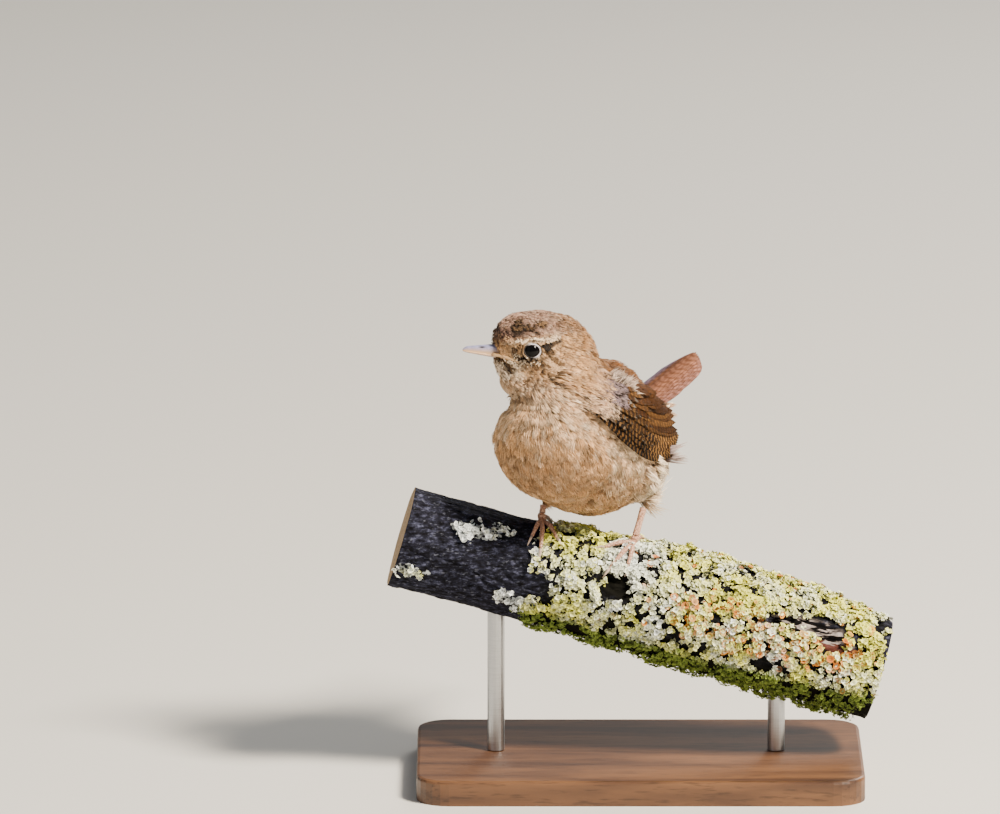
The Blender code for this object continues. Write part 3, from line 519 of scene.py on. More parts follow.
def under_wing(points):
    """Where the folded wings hide the skin, so that no feather is needed."""
    covered = np.zeros(len(points), bool)
    for side in (LEFT, RIGHT):
        u, v, outward = wing_place(points, side)
        oval = ((u - 20.0) / 16.0) ** 2 + ((v + 0.5) / 7.0) ** 2 < 1
        covered |= oval & (outward > 6.0)
    return covered


def by_eye(points):
    """Millimetres from the middle of the nearer eye."""
    h = places_in(HEAD, points)
    return np.linalg.norm(np.stack([h[:, 0], np.abs(h[:, 1]), h[:, 2]], axis=1) - EYE, axis=1)


def by_bill(points):
    """Below 1 inside an oval round the root of the bill."""
    h = places_in(HEAD, points)
    return np.hypot(h[:, 1] / 2.2, (h[:, 2] + 3.3) / 2.0) + (h[:, 0] < 9.0) * 9.0


skin.data.calc_loop_triangles()
corners = rows_of(skin.data.loop_triangles, "vertices", 3, int)
loops = rows_of(skin.data.loop_triangles, "loops", 3, int)
skin_uv = rows_of(skin.data.uv_layers["OFBake"].data, "uv", 2)
places, normals = points_of(skin.data), normals_of(skin.data)
middles = places[corners].mean(axis=1)
edges = places[corners]
areas = np.linalg.norm(np.cross(edges[:, 1] - edges[:, 0], edges[:, 2] - edges[:, 0]), axis=1) / 2
face_share = on_face(middles)
print("skin area:", round(areas.sum() / MM**2), "square mm")

# %% Strew the roots
ROOTS = 28500
LID_CLEAR, FRONT_CLEAR = 2.85, 0.8  # how far feathers keep from the eye's middle, and more before it
rng = np.random.default_rng(7)
chance = areas * (1 + 1.5 * face_share + 0.4 * on_head_share(middles)) * ~under_wing(middles)
chosen = rng.choice(len(corners), ROOTS, p=chance / chance.sum())
inside = rng.dirichlet((1, 1, 1), ROOTS)
root = np.einsum("nk,nkd->nd", inside, places[corners[chosen]])
outward = unit(np.einsum("nk,nkd->nd", inside, normals[corners[chosen]]))
root_uv = np.einsum("nk,nkd->nd", inside, skin_uv[loops[chosen]])
before_eye = rise(places_in(HEAD, root)[:, 0] - EYE[0], 0.0, 2.0)
clear = (by_eye(root) > LID_CLEAR + FRONT_CLEAR * before_eye) & (by_bill(root) > 1.0)
root, outward, root_uv = root[clear], outward[clear], root_uv[clear]
print("roots:", len(root))


# %% Fans of barbs as one mesh
BARBS = 4
BARB_POINTS, BARB_MIDDLE = 7, 0.55  # three at its root, three at this share of its length, and its tip
BARB_TRIANGLES = 10
FEATHER_PATCH = 0.0014  # how far a feather's own patch reaches on the skin's map
MOST_FEATHERS = 4700  # in one piece, which keeps it under 200,000 triangles


def barb_fans(name, root, outward, way, marks, root_uv, length, width, lift, opening, seed, stray, droop,
              own=None):
    """Each feather is a fan of three-sided barbs that taper to a point. Sizes are in millimetres and angles
    in degrees. Opening is the range of a barb's turn from the feather's middle: below 0 the tips gather.
    Stray is how much a feather's way differs from that of the coat, a large droop bends the barbs little, and
    own is how light each feather is, from 0 to 1."""
    rng = np.random.default_rng(seed)
    count = len(root)
    own = np.clip(rng.normal(0.5, 0.24, count), 0, 1) if own is None else own
    turn = np.radians(rng.normal(0, stray, count))[:, None]
    way = way * np.cos(turn) + np.cross(outward, way) * np.sin(turn)
    side = np.cross(outward, way)
    spread = np.linspace(-1, 1, BARBS)[None, :] + rng.normal(0, 0.12, (count, BARBS))
    angle = spread * np.radians(rng.uniform(opening[0], opening[1], count))[:, None]
    reach = length[:, None] * (1 - 0.16 * spread**2) * rng.uniform(0.84, 1.12, (count, BARBS)) * MM
    aim = np.cos(angle)[..., None] * way[:, None] + np.sin(angle)[..., None] * side[:, None]
    start = root[:, None] + side[:, None] * (spread * 0.10 * length[:, None] * MM)[..., None]
    start = start - outward[:, None] * 0.1 * MM
    across = np.cross(np.broadcast_to(outward[:, None], aim.shape), aim)
    half = np.asarray(width).reshape(-1, 1, 1) * MM / 2
    tall = (lift[:, None] * rng.uniform(0.85, 1.1, (count, BARBS)))[..., None] * MM
    shapes = []
    for share, high, wide in ((0.0, 0.0, 0.8), (BARB_MIDDLE, 0.8, 1.0), (1.0, 1.0, 0.0)):
        sag = (share * reach) ** 2 / (2 * droop * MM)
        centre = start + aim * (share * reach)[..., None] + outward[:, None] * (tall * high - sag[..., None])
        if wide == 0.0:
            shapes.append(centre)
            continue
        shapes += [centre + across * half * wide, centre - across * half * wide]
        shapes.append(centre + outward[:, None] * half * wide * 0.8)
    verts = np.stack(shapes, axis=2).reshape(-1, 3)
    total = count * BARBS
    quads = np.array(((0, 2, 5, 3), (2, 1, 4, 5), (1, 0, 3, 4)))
    tips = np.array(((3, 5, 6), (5, 4, 6), (4, 3, 6), (0, 1, 2)))
    pattern = np.concatenate([quads.ravel(), tips.ravel()])
    loop_verts = (pattern[None, :] + BARB_POINTS * np.arange(total)[:, None]).ravel()
    sizes = np.tile([4, 4, 4, 3, 3, 3, 3], total)
    mesh = fill_mesh(name, verts, loop_verts, sizes)
    local = np.array(((-1, -1), (1, -1), (0, -1), (-1, 0), (1, 0), (0, 0), (0, 1)))
    patch = root_uv[:, None, None] + FEATHER_PATCH * local[None, None]
    patch = np.broadcast_to(patch, (count, BARBS, BARB_POINTS, 2)).reshape(-1, 2)
    uv = mesh.uv_layers.new(name="OFBake")
    uv.data.foreach_set("uv", patch[loop_verts].astype(np.float32).ravel())
    write_value(mesh, "Along", np.tile([0, 0, 0, BARB_MIDDLE, BARB_MIDDLE, BARB_MIDDLE, 1], total))
    write_value(mesh, "Own", np.repeat(own, BARBS * BARB_POINTS))
    write_marks(mesh, np.repeat(marks, BARBS * BARB_POINTS, axis=0))
    mesh.materials.append(barb_material)
    piece = new_object(name, mesh)
    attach(piece, "root")
    print(name, count, "feathers", total * BARB_TRIANGLES, "triangles")
    return piece


def fill_mesh(name, verts, loop_verts, sizes):
    """A mesh straight from arrays of points, of corners and of the number of corners of each face."""
    mesh = bpy.data.meshes.new(name)
    mesh.vertices.add(len(verts))
    mesh.vertices.foreach_set("co", np.ascontiguousarray(verts, np.float32).ravel())
    mesh.loops.add(len(loop_verts))
    mesh.loops.foreach_set("vertex_index", loop_verts.astype(np.int32))
    mesh.polygons.add(len(sizes))
    starts = np.concatenate([[0], np.cumsum(sizes)[:-1]]).astype(np.int32)
    mesh.polygons.foreach_set("loop_start", starts)
    mesh.update(calc_edges=True)
    mesh.shade_smooth()
    return mesh


# %% Size and lift of each feather
BODY_LENGTH, BODY_WIDTH, BODY_LIFT = 5.4, 0.30, 1.1  # on the body. The width is that of one barb
way = lie_of_coat(root, outward)
h, b = places_in(HEAD, root), places_in(BODY, root)
face, head_share = on_face(root), on_head_share(root)
near_eye = 1 - rise(by_eye(root), 2.9, 5.0)
vent_share = rise(-b[:, 0], 8, 16) * (1 - rise(b[:, 2], 4, 10))
mantle_share = rise(b[:, 2], 8, 14) * (1 - head_share)
ruffle = rise(-h[:, 0], 1, 8) * head_share
length = (BODY_LENGTH - 2.2 * head_share - 1.1 * face) * (1 + 0.7 * vent_share) * (1 - 0.4 * near_eye)
length = (length + 0.5 * ruffle) * rng.uniform(0.75, 1.25, len(root))
width = BODY_WIDTH - 0.07 * head_share - 0.05 * face - 0.08 * vent_share
lift = BODY_LIFT - 0.5 * head_share - 0.2 * face + 0.7 * mantle_share + 0.3 * vent_share
lift = (lift * (1 - 0.45 * near_eye) + 0.7 * ruffle) * rng.uniform(0.35, 1.3, len(root))

# %% Tufts: each feather turns to the tip of the nearest leader, and takes its lift and shade
LEADERS, MORE_ON_HEAD = 0.26, 0.3  # the share of feathers that lead
leaders = np.flatnonzero(rng.uniform(0, 1, len(root)) < LEADERS + MORE_ON_HEAD * head_share)
turn = np.radians(rng.normal(0, 11, len(root)))[:, None]
way = way * np.cos(turn) + np.cross(outward, way) * np.sin(turn)
leader_tree = KDTree(len(leaders))
for i, at in enumerate(leaders):
    leader_tree.insert(root[at], i)
leader_tree.balance()
leader = leaders[[leader_tree.find(place)[1] for place in root]]
towards = root[leader] + way[leader] * (0.95 * length[leader] * MM)[:, None] - root
towards = towards - outward * np.sum(towards * outward, axis=1, keepdims=True)
span = np.linalg.norm(towards, axis=1) / MM
way = unit(0.45 * way + 0.55 * unit(towards + way * 1e-6))
length = np.clip(span, 0.7 * length, 1.3 * length) * rng.uniform(0.82, 1.08, len(root))
lift = lift[leader] * rng.uniform(0.85, 1.1, len(root))
own = np.clip(0.5 + 0.24 * rng.normal(0, 1, len(root))[leader] + 0.12 * rng.normal(0, 1, len(root)), 0, 1)
marks = markings(root + way * (0.75 * length * MM)[:, None])
scatter = rng.normal(0, 1, (len(root), 2))[leader]
marks[:, 1] = np.clip(marks[:, 1] + 0.14 * scatter[:, 0], 0, 1)
marks[:, 2] = np.clip(marks[:, 2] + 0.12 * np.clip(scatter[:, 1] - 0.6, 0, 2), 0, 1)
print("tufts:", len(leaders))

# %% Regions of the coat
on_head_part = over_neck(h) > -10
crown, cheek = h[:, 2] > 1.5, h[:, 0] > -1
mantle, chest, belly = b[:, 2] > 8, b[:, 0] > 8, b[:, 2] <= -6
regions = {
    "coat_crown": on_head_part & crown,
    "coat_face": on_head_part & ~crown & cheek,
    "coat_nape": on_head_part & ~crown & ~cheek,
    "coat_mantle": ~on_head_part & mantle,
    "coat_breast": ~on_head_part & ~mantle & chest & ~belly,
    "coat_flank_left": ~on_head_part & ~mantle & ~chest & (b[:, 1] > 0),
    "coat_flank_right": ~on_head_part & ~mantle & ~chest & (b[:, 1] <= 0),
    "coat_belly": ~on_head_part & chest & belly,
}
for seed, (name, picked) in enumerate(regions.items()):
    members = np.flatnonzero(picked)
    members = members[np.argsort(b[members, 0])]
    parts = np.array_split(members, math.ceil(len(members) / MOST_FEATHERS))
    droop = 8.0 if name in ("coat_crown", "coat_face") else 16.0
    for number, at in enumerate(parts):
        part_name = name + ("_%d" % (number + 1) if len(parts) > 1 else "")
        barb_fans(
            part_name, root[at], outward[at], way[at], marks[at], root_uv[at], length[at], width[at],
            lift[at], (-7, 8), seed * 10 + number, 5.0, droop, own[at],
        )

# %% [markdown]
# ## Wings and tail
#
# Flight feathers are stiff vanes on a shaft. In the folded wing each lies over the next like a tile, and
# the coverts tile over their roots. Every vane is a small grid bent over the same oval as the solid wing,
# with a raised shaft and a faintly ragged edge. Bars cross a vane at a fixed spacing, so each vane carries
# its own map in millimetres: across from the shaft, and along from the root.


# %% The oval that a wing lies on, and the plane of the tail
BED_MIDDLE = np.array((-4.0, 0.0, 0.0))
BED_RADII = np.array((36.0, 19.2, 27.5))


def wing_chart(side):
    """Turns places back from the wrist, up across the wing and out from its bed into world points."""

    def chart(u, v, height):
        flat = WRIST + np.multiply.outer(u, WING_BACK) + np.multiply.outer(v, WING_UP)
        x, z = flat[..., 0] - BED_MIDDLE[0], flat[..., 1] - BED_MIDDLE[2]
        inside = np.maximum(1 - (x / BED_RADII[0]) ** 2 - (z / BED_RADII[2]) ** 2, 0.02)
        y = BED_RADII[1] * np.sqrt(inside)
        lean = unit(np.stack([x, y, z], axis=-1) / BED_RADII**2)
        spot = np.stack([x, y, z], axis=-1) + lean * np.asarray(height)[..., None] + BED_MIDDLE
        spot = spot * np.array((1, side, 1))
        return out_of(BODY, spot)

    return chart


def tail_chart(u, v, height):
    """Turns places back from the tail's root, to its left and up from its plane into world points."""
    return out_of(TAIL, np.stack([-u, v, height - 0.006 * v**2], axis=-1))


# %% One vane
VANE_STEPS, VANE_COLUMNS = 16, 6
CAMBER = 0.25  # how far the edges bend down, as a share of a quarter of the width
SHAFT_RISE = 0.10


def vane(chart, root, tip, width, bow, tilt, root_share, lift, plan, seed, blunt=0.22):
    """Points, quads, map, distances from the tip and plan of one feather, with its root and tip on the chart.
    Lift is its height at root and tip. Plan holds how pale its bars are, how light it is, partly painted
    shade on the lowest wing feathers, how strong the bars are, and how strong the pale spot at its tip is."""
    rng = np.random.default_rng(seed)
    root, tip = np.array(root, float), np.array(tip, float)
    length = np.linalg.norm(tip - root)
    along = (tip - root) / length
    across = np.array((-along[1], along[0]))
    share = (1 - (1 - np.linspace(0, 1, VANE_STEPS + 1)) ** 1.4)[:, None]
    side = np.linspace(-1, 1, VANE_COLUMNS + 1)[None, :]
    swell = root_share + (1 - root_share) * np.sin(np.pi / 2 * np.minimum(share / 0.55, 1))
    rounding = np.sqrt(np.clip(1 - ((share - 1 + blunt) / blunt).clip(0) ** 2, 0.004, 1))
    ragged = 1 + rng.normal(0, 0.035, share.shape) * (share > 0.1)
    offset = side * width / 2 * swell * rounding * ragged
    reach = share * length - 0.35 * blunt * length * side**2 * (share > 1 - blunt)
    u = root[0] + along[0] * reach + across[0] * (offset + bow * np.sin(np.pi * share))
    v = root[1] + along[1] * reach + across[1] * (offset + bow * np.sin(np.pi * share))
    height = lift[0] + (lift[1] - lift[0]) * share + offset * tilt - CAMBER * side**2 * width / 4
    height = height + SHAFT_RISE * np.exp(-((side * VANE_COLUMNS / 2) ** 2)) * (1 - 0.6 * share)
    points = chart(u, v, height).reshape(-1, 3)
    ij = np.arange(height.size).reshape(height.shape)
    quads = np.stack([ij[:-1, :-1], ij[1:, :-1], ij[1:, 1:], ij[:-1, 1:]], axis=-1).reshape(-1, 4)
    phase = rng.uniform(0, 2.0)  # so that the bars of neighbours don't line up
    grid = np.stack([offset, reach + phase - 0.45 * np.abs(offset)], axis=-1).reshape(-1, 2)
    from_tip = (length - reach).reshape(-1)
    return points, quads, grid, from_tip, np.tile(plan, (len(points), 1))


def join_vanes(name, vanes, thickness=0.12):
    """Many vanes as one object with a thin wall."""
    points, quads, grids, tips, plans = zip(*vanes)
    firsts = np.cumsum([0] + [len(each) for each in points[:-1]])
    loop_verts = np.concatenate([each + first for each, first in zip(quads, firsts)]).ravel()
    mesh = fill_mesh(name, np.concatenate(points), loop_verts, np.full(len(loop_verts) // 4, 4))
    uv = mesh.uv_layers.new(name="Vane")
    uv.data.foreach_set("uv", np.concatenate(grids)[loop_verts].astype(np.float32).ravel())
    write_value(mesh, "FromTip", np.concatenate(tips))
    write_marks(mesh, np.concatenate(plans), "Plan")
    piece = new_object(name, mesh)
    bpy.ops.object.select_all(action="DESELECT")
    apply_modifier(piece, "SOLIDIFY", thickness=thickness * MM, offset=-1.0, use_even_offset=False)
    piece.data.shade_smooth()
    return piece


# %% Barred vane material
BARB_SPACING = 0.34  # real barbs are finer, but would not show


def make_vane_material(name, warm, dark, pale, spacing, width, blur):
    """Spacing of the bars is in millimetres. Width is where a bar starts on the wave from -1 to 1."""
    material, tree, shader = new_material(name, 0.62, Specular_IOR_Level=0.12)
    grid = add(tree, "UVMap", uv_map="Vane").outputs["UV"]
    axes = add(tree, "SeparateXYZ", {0: grid})
    place = add(tree, "TexCoord").outputs["Object"]
    plan = add(tree, "Attribute", attribute_name="Plan")
    parts = add(tree, "SeparateColor", {"Color": plan.outputs["Color"]})
    wobble = add(tree, "TexNoise", {"Vector": place, "Scale": 700.0, "Detail": 2.0})  # 1.4 mm across
    waver = add(tree, "Math", {0: wobble, 1: spacing * 0.9, 2: axes.outputs["Y"]}, operation="MULTIPLY_ADD")
    turn = add(tree, "Math", {0: waver, 1: 2 * math.pi / spacing}, operation="MULTIPLY")
    wave = add(tree, "Math", {0: turn}, operation="SINE")
    bars = add(
        tree, "MapRange",
        {"Value": wave, "From Min": width - blur, "From Max": width + blur},
        interpolation_type="SMOOTHSTEP",
    )
    strength = add(tree, "Math", {0: bars, 1: parts.outputs["Blue"]}, operation="MULTIPLY")
    light = add(tree, "Mix", {0: parts.outputs["Red"], 6: hue(warm), 7: hue(pale)}, data_type="RGBA")
    barred = add(tree, "Mix", {0: strength, 6: light, 7: hue(dark)}, data_type="RGBA")
    tip = add(tree, "Attribute", attribute_name="FromTip")
    spot = add(tree, "MapRange", {"Value": tip.outputs["Fac"], "From Min": 1.3, "From Max": 0.7})
    spotted = add(tree, "Math", {0: spot, 1: plan.outputs["Alpha"]}, operation="MULTIPLY")
    tipped = add(tree, "Mix", {0: spotted, 6: barred, 7: hue("#f1e6d6")}, data_type="RGBA")
    shaft = add(tree, "Math", {0: axes.outputs["X"]}, operation="ABSOLUTE")
    line = add(tree, "MapRange", {"Value": shaft, "From Min": 0.16, "From Max": 0.05, "To Max": 0.3})
    shafted = add(tree, "Mix", {0: line, 6: tipped, 7: hue("#4a3020")}, data_type="RGBA")
    # Green darkens the whole vane. On the lowest wing feathers this is partly painted shade.
    own = add(tree, "MapRange", {"Value": parts.outputs["Green"], "To Min": 0.25, "To Max": 1.1})
    # Streaks 0.3 mm across and 2.9 mm long.
    drawn = add(tree, "VectorMath", {0: grid, 1: (3.2, 0.35, 1.0)}, operation="MULTIPLY")
    streaks = add(tree, "TexNoise", {"Vector": drawn, "Scale": 1.0, "Detail": 3.0})
    streaked = add(
        tree, "MapRange", {"Value": streaks, "From Min": 0.3, "From Max": 0.7, "To Min": 0.45, "To Max": 1.5}
    )
    value = add(tree, "Math", {0: own, 1: streaked}, operation="MULTIPLY")
    toned = add(tree, "HueSaturation", {"Color": shafted, "Value": value})
    slant = add(tree, "Math", {0: shaft, 1: -0.9, 2: axes.outputs["Y"]}, operation="MULTIPLY_ADD")
    barbs = add(tree, "Math", {0: slant, 1: 2 * math.pi / BARB_SPACING}, operation="MULTIPLY")
    ripple = add(tree, "Math", {0: barbs}, operation="SINE")
    bump = add(tree, "Bump", {"Height": ripple, "Strength": 0.35, "Distance": 0.00005})
    connect(tree, shader, {"Base Color": toned, "Normal": bump})
    return material


wing_material = make_vane_material("barred flight feather", "#4c2c0d", "#120b07", "#a97a42", 1.4, -0.5, 0.4)
# The tail's pale is a lilac grey that is partly painted sheen.
tail_material = make_vane_material("barred tail feather", "#9e6644", "#6c432d", "#b9a9cb", 2.2, 0.3, 0.9)


# %% Rows of the folded wing
# Each row: its name, how many, roots and tips of the lowest and highest feather, width, bow, share of the
# width at the root, heights at root and tip, then how pale the bars are, how strong they and the spot at the
# tip are, and how light the feather is, each from the lowest to the highest. The darkness of the lowest
# feathers and of the primary coverts is partly their own and partly painted shade along the wing's lower
# edge.
WING_ROWS = (
    ("primary", 10, ((10, -8.2), (15, -2.6)), ((36.5, -5.6), (39.5, 1.2)), 3.2, -2.2, 0.6, (0.3, 1.2),
     (0.6, 0.6), (1.0, 0.9), (0, 0), (0.25, 0.7)),
    ("secondary", 8, ((14, -2.4), (17, 3.4)), ((38.0, 1.6), (33.0, 7.0)), 2.8, -0.8, 0.6, (0.4, 1.4),
     (0.25, 0.0), (0.65, 0.3), (0, 0), (0.6, 0.5)),
    ("tertial", 5, ((12, 2.6), (12, 6)), ((31.5, 5.0), (24, 9.0)), 3.2, 0, 0.6, (0.6, 1.5),
     (0.0, 0.0), (0.4, 0.2), (0, 0), (0.5, 0.6)),
    ("primary_covert", 8, ((2, -5.4), (8, -3.5)), ((20.5, -10.4), (26, -5.0)), 2.2, -0.5, 0.7, (0.7, 1.8),
     (0.5, 0.5), (1.0, 1.0), (0.1, 0.1), (0.08, 0.3)),
    ("covert", 15, ((4.5, -3.6), (9, 5.6)), ((18.5, -8.6), (22.5, 5.6)), 1.9, -0.3, 0.7, (0.9, 2.2),
     (0.6, 0.0), (1.0, 0.25), (0.35, 0.0), (0.15, 0.6)),
    ("median", 14, ((3.0, -3.0), (6, 4.2)), ((12.0, -6.9), (15.5, 4.6)), 1.6, 0, 0.75, (0.9, 2.5),
     (0.6, 0.1), (1.0, 0.5), (0.7, 0.3), (0.15, 0.5)),
)
TILT = -0.2  # the upper edge of each vane lies lower, under the next vane up
FAR_WING_LIFT = 0.55  # the far wing lies closer


def between(pair, share):
    return np.array(pair[0], float) * (1 - share) + np.array(pair[1], float) * share


for side, label in BOTH_SIDES:
    chart, vanes, rng = wing_chart(side), [], np.random.default_rng(41)
    for k, (_, count, roots, tips, width, bow, root_share, lift, *looks) in enumerate(WING_ROWS):
        pale, bar, spot, own = looks
        for i in range(count):
            share = i / (count - 1)
            light = np.clip(between(pale, share) + rng.normal(0, 0.12), 0, 1)
            shade = np.clip(between(own, share) + rng.normal(0, 0.12), 0, 1)
            plan = (light, shade, between(bar, share), between(spot, share) * rng.uniform(0, 1))
            tip = between(tips, share) + rng.normal(0, (1.3, 0.5)) * (k > 0)
            height = np.array(lift) * (FAR_WING_LIFT if side == RIGHT else 1)
            foot = between(roots, share)
            vanes.append(vane(chart, foot, tip, width, bow, TILT, root_share, height, plan, k * 50 + i))
    if side == RIGHT:
        vanes = [(points, quads[:, ::-1], *rest) for points, quads, *rest in vanes]
    wing = join_vanes("plumage_wing_" + label, vanes)
    wing.data.materials.append(wing_material)
    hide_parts("wing_" + label)
    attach(wing, "root")
    print(wing.name, len(vanes), "vanes", len(wing.data.polygons), "faces")

# %% The cocked tail
# Each pair lies half a millimetre under the one inside it.
TAIL_LENGTH, TAIL_FEATHER_WIDTH, TAIL_PAIRS = 32.3, 5.0, 6
HALF_WIDTH = {LEFT: 5.0, RIGHT: 9.6}  # the near half is seen more closed than the far one
FIRST_SPREAD = 0.6  # how far the middle pair is from the middle
SHORTER = {LEFT: 0.03, RIGHT: 0.02}  # how much shorter the outer feathers are
ROOT_SPREAD = {LEFT: 1.5, RIGHT: 0.5}
vanes = []
for pair in range(TAIL_PAIRS):
    share = pair / (TAIL_PAIRS - 1)
    for side in (LEFT, RIGHT):
        spread = FIRST_SPREAD + (HALF_WIDTH[side] - TAIL_FEATHER_WIDTH / 2 - FIRST_SPREAD) * share
        reach = TAIL_LENGTH * (1 - SHORTER[side] * share**2)
        level = 1.5 - 0.5 * pair - (0.3 if side == RIGHT else 0)
        # The far half's outer feathers turn pale lilac, partly as painted sheen on that edge.
        light = 0.95 * share**0.9 if side == RIGHT else 0.05 + 0.1 * share
        plan = (light, 0.45 + 0.1 * ((pair * 3 + side) % 3), 0.75 - 0.45 * (light > 0.5), 0)
        foot, bow = (0.5, side * spread * ROOT_SPREAD[side]), side * (0.4 + 1.2 * share)
        vanes.append(
            vane(tail_chart, foot, (reach, side * spread), TAIL_FEATHER_WIDTH, bow, -side * 0.05, 0.45,
                 (level * 0.7, level), plan, 200 + pair * 2 + side, blunt=0.1)
        )
tail = join_vanes("plumage_tail", vanes, thickness=0.16)
tail.data.materials.append(tail_material)
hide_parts("tail")
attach(tail, "root")
print("tail:", len(vanes), "feathers")

# %% [markdown]
# ## Eyes and bill
#
# A museum model has glass eyes: nearly black, with a wet gloss that holds the lamp's reflection. The bill
# is horn, lilac grey above and paler at the cutting edges, and it is finer than the solid bill.

# %% Glass eyes
glass_eye, tree, shader = new_material("glass eye", 0.04, IOR=1.36, Specular_IOR_Level=0.2)
place = add(tree, "TexCoord").outputs["Object"]
depth = add(tree, "TexNoise", {"Vector": place, "Scale": 600.0, "Detail": 3.0})  # 1.7 mm across
brown = add(tree, "Mix", {0: depth, 6: hue("#040405"), 7: hue("#0d0a0a")}, data_type="RGBA")
connect(tree, shader, {"Base Color": brown})
EYE_RADIUS = 2.6
EYES_FORWARD = math.radians(12)


def eye_frame(side):
    """A frame in the middle of an eye whose X looks out of it."""
    aim = Matrix.Rotation(side * (math.pi / 2 - EYES_FORWARD), 4, "Z")
    centre = Vector((EYE[0], side * EYE[1], EYE[2])) * MM
    return HEAD @ Matrix.Translation(centre) @ aim


def settle(obj):
    """Puts an object's place, turn and size into its mesh."""
    obj.data.transform(obj.matrix_world)
    obj.matrix_world = Matrix.Identity(4)


for side, label in BOTH_SIDES:
    bpy.ops.object.select_all(action="DESELECT")
    bpy.ops.mesh.primitive_uv_sphere_add(segments=48, ring_count=32, radius=EYE_RADIUS * MM)
    ball = bpy.context.object
    ball.name = "glass_eye_" + label
    ball.matrix_world = eye_frame(side)
    settle(ball)
    ball.data.shade_smooth()
    ball.data.materials.append(glass_eye)
    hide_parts("eye_" + label)
    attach(ball, "root")

# %% Eyelids
# The lids of one eye are a ring that lies on the ball. Its bed is a little larger than the ball, so that it
# isn't buried in it, and its middle is a little higher than the ball's.
EYE_HEIGHT = 0.84  # of its width
LID_RADIUS, LID_THICKNESS = 2.24, 0.24
LID_BED, LID_RAISED = 2.7, 0.12
lid_skin, tree, shader = new_material("eyelid skin", 0.55)
place = add(tree, "TexCoord").outputs["Object"]
folds = add(tree, "TexNoise", {"Vector": place, "Scale": 2500.0, "Detail": 2.0})  # 0.4 mm across
tone = add(tree, "Mix", {0: folds, 6: hue("#0f0c0c"), 7: hue("#2a2220")}, data_type="RGBA")
pale_part = add(tree, "Attribute", attribute_name="Pale")
tone = add(tree, "Mix", {0: pale_part.outputs["Fac"], 6: tone, 7: hue("#ddd6da")}, data_type="RGBA")
connect(tree, shader, {"Base Color": tone})
for side, label in BOTH_SIDES:
    bpy.ops.object.select_all(action="DESELECT")
    bpy.ops.mesh.primitive_torus_add(
        major_radius=LID_RADIUS * MM, minor_radius=LID_THICKNESS * MM, major_segments=48, minor_segments=10
    )
    lid = bpy.context.object
    lid.name = "eyelid_" + label
    rim = points_of(lid.data)
    middle = unit(rim * (1, 1, 0)) * LID_RADIUS * MM * (EYE_HEIGHT, 1, 0)
    bed = np.sqrt((LID_BED * MM) ** 2 - np.sum(middle**2, axis=1))
    rim = rim * (EYE_HEIGHT, 1, 1) + np.array((0, 0, 1)) * bed[:, None]
    lid.data.vertices.foreach_set("co", rim.astype(np.float32).ravel())
    lid.matrix_world = (
        eye_frame(side) @ Matrix.Translation((0, 0, LID_RAISED * MM)) @ Matrix.Rotation(math.pi / 2, 4, "Y")
    )
    settle(lid)
    seen = places_in(HEAD, points_of(lid.data)) - EYE * (1, side, 1)
    write_value(lid.data, "Pale", rise(-0.8 * seen[:, 0] + 0.5 * seen[:, 2], -1.0, 0.4) * 0.9)
    lid.data.shade_smooth()
    lid.data.materials.append(lid_skin)
    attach(lid, "root")

# %% [markdown]
# ## Loose feathers and the marks of the face
#
# Some feathers show one by one: tufts over the front of the wing, wisps at the vent and the wing tip, and the
# dark and pale marks of the face. The marks could be a texture, but made of feathers they catch the light as
# the coat does. They start where the photograph shows them and are then laid on the skin on both sides.

# %% Places above the skin
skin_tree = BVHTree.FromPolygons([Vector(p) for p in places], corners.tolist())
PIXELS_PER_MM = 3.6


def uv_below(points):
    """The skin's own map under points above it, for feathers that don't root on the skin."""
    found = [skin_tree.find_nearest(Vector(p))[2] for p in points]
    return skin_uv[loops[found]].mean(axis=1)


def nearest_skin(points):
    """The nearest places on the skin, and the skin's outward directions there."""
    found = [skin_tree.find_nearest(Vector(p)) for p in points]
    return np.array([near[0] for near in found]), np.array([near[1] for near in found])


def seen_at(x, y, depth_at):
    """The skin's place under a pixel of the photograph, or the place in its line as far off as depth_at."""
    pixel = SENSOR / PICTURE[0]
    right, up = (x - PICTURE[0] / 2) * pixel, (PICTURE[1] / 2 - y) * pixel
    aim = camera.rotation_euler.to_matrix() @ Vector((right, up, -camera_data.lens))
    aim.normalize()
    hit = skin_tree.ray_cast(camera.location, aim)[0]
    return np.array(hit if hit else camera.location + aim * (depth_at - camera.location).dot(aim))


# %% Tufts over the front and the top of each wing
# Each patch: its name, how many, along and up the wing, heights at its front and rear, length, width, lift,
# turn upwards in degrees, its rufous, pale, dusky and grey, and the share of its feathers that are dark.
FAR_TUFT_LEVEL, FAR_TUFT_LIFT = 0.5, 0.6  # the far wing's tufts lie closer
TUFT_PATCHES = (
    ("front", 620, (-6.5, 4.5), (-5.2, 7.5), (0.0, 1.2), 4.4, 0.30, 0.8, 0, (0.15, 0.12, 0.05, 0.25), 0.1),
    # The lilac patch's lilac grey is partly painted sheen on the coverts over the bend of the wing.
    ("lilac", 240, (3.5, 9.0), (-1.0, 4.6), (1.1, 1.7), 3.4, 0.26, 0.7, -10, (0.1, 0.0, 0.32, 1.0), 0.4),
    ("specked", 200, (2.0, 7.0), (-5.6, -0.8), (0.9, 1.5), 2.6, 0.26, 0.6, -16, (0.35, 0.4, 0.1, 0.2), 0.45),
    ("scapular", 60, (6.0, 13.0), (3.6, 6.2), (1.0, 1.4), 5.0, 0.2, 1.2, 38, (0.1, 0.45, 0.1, 0.6), 0.25),
)
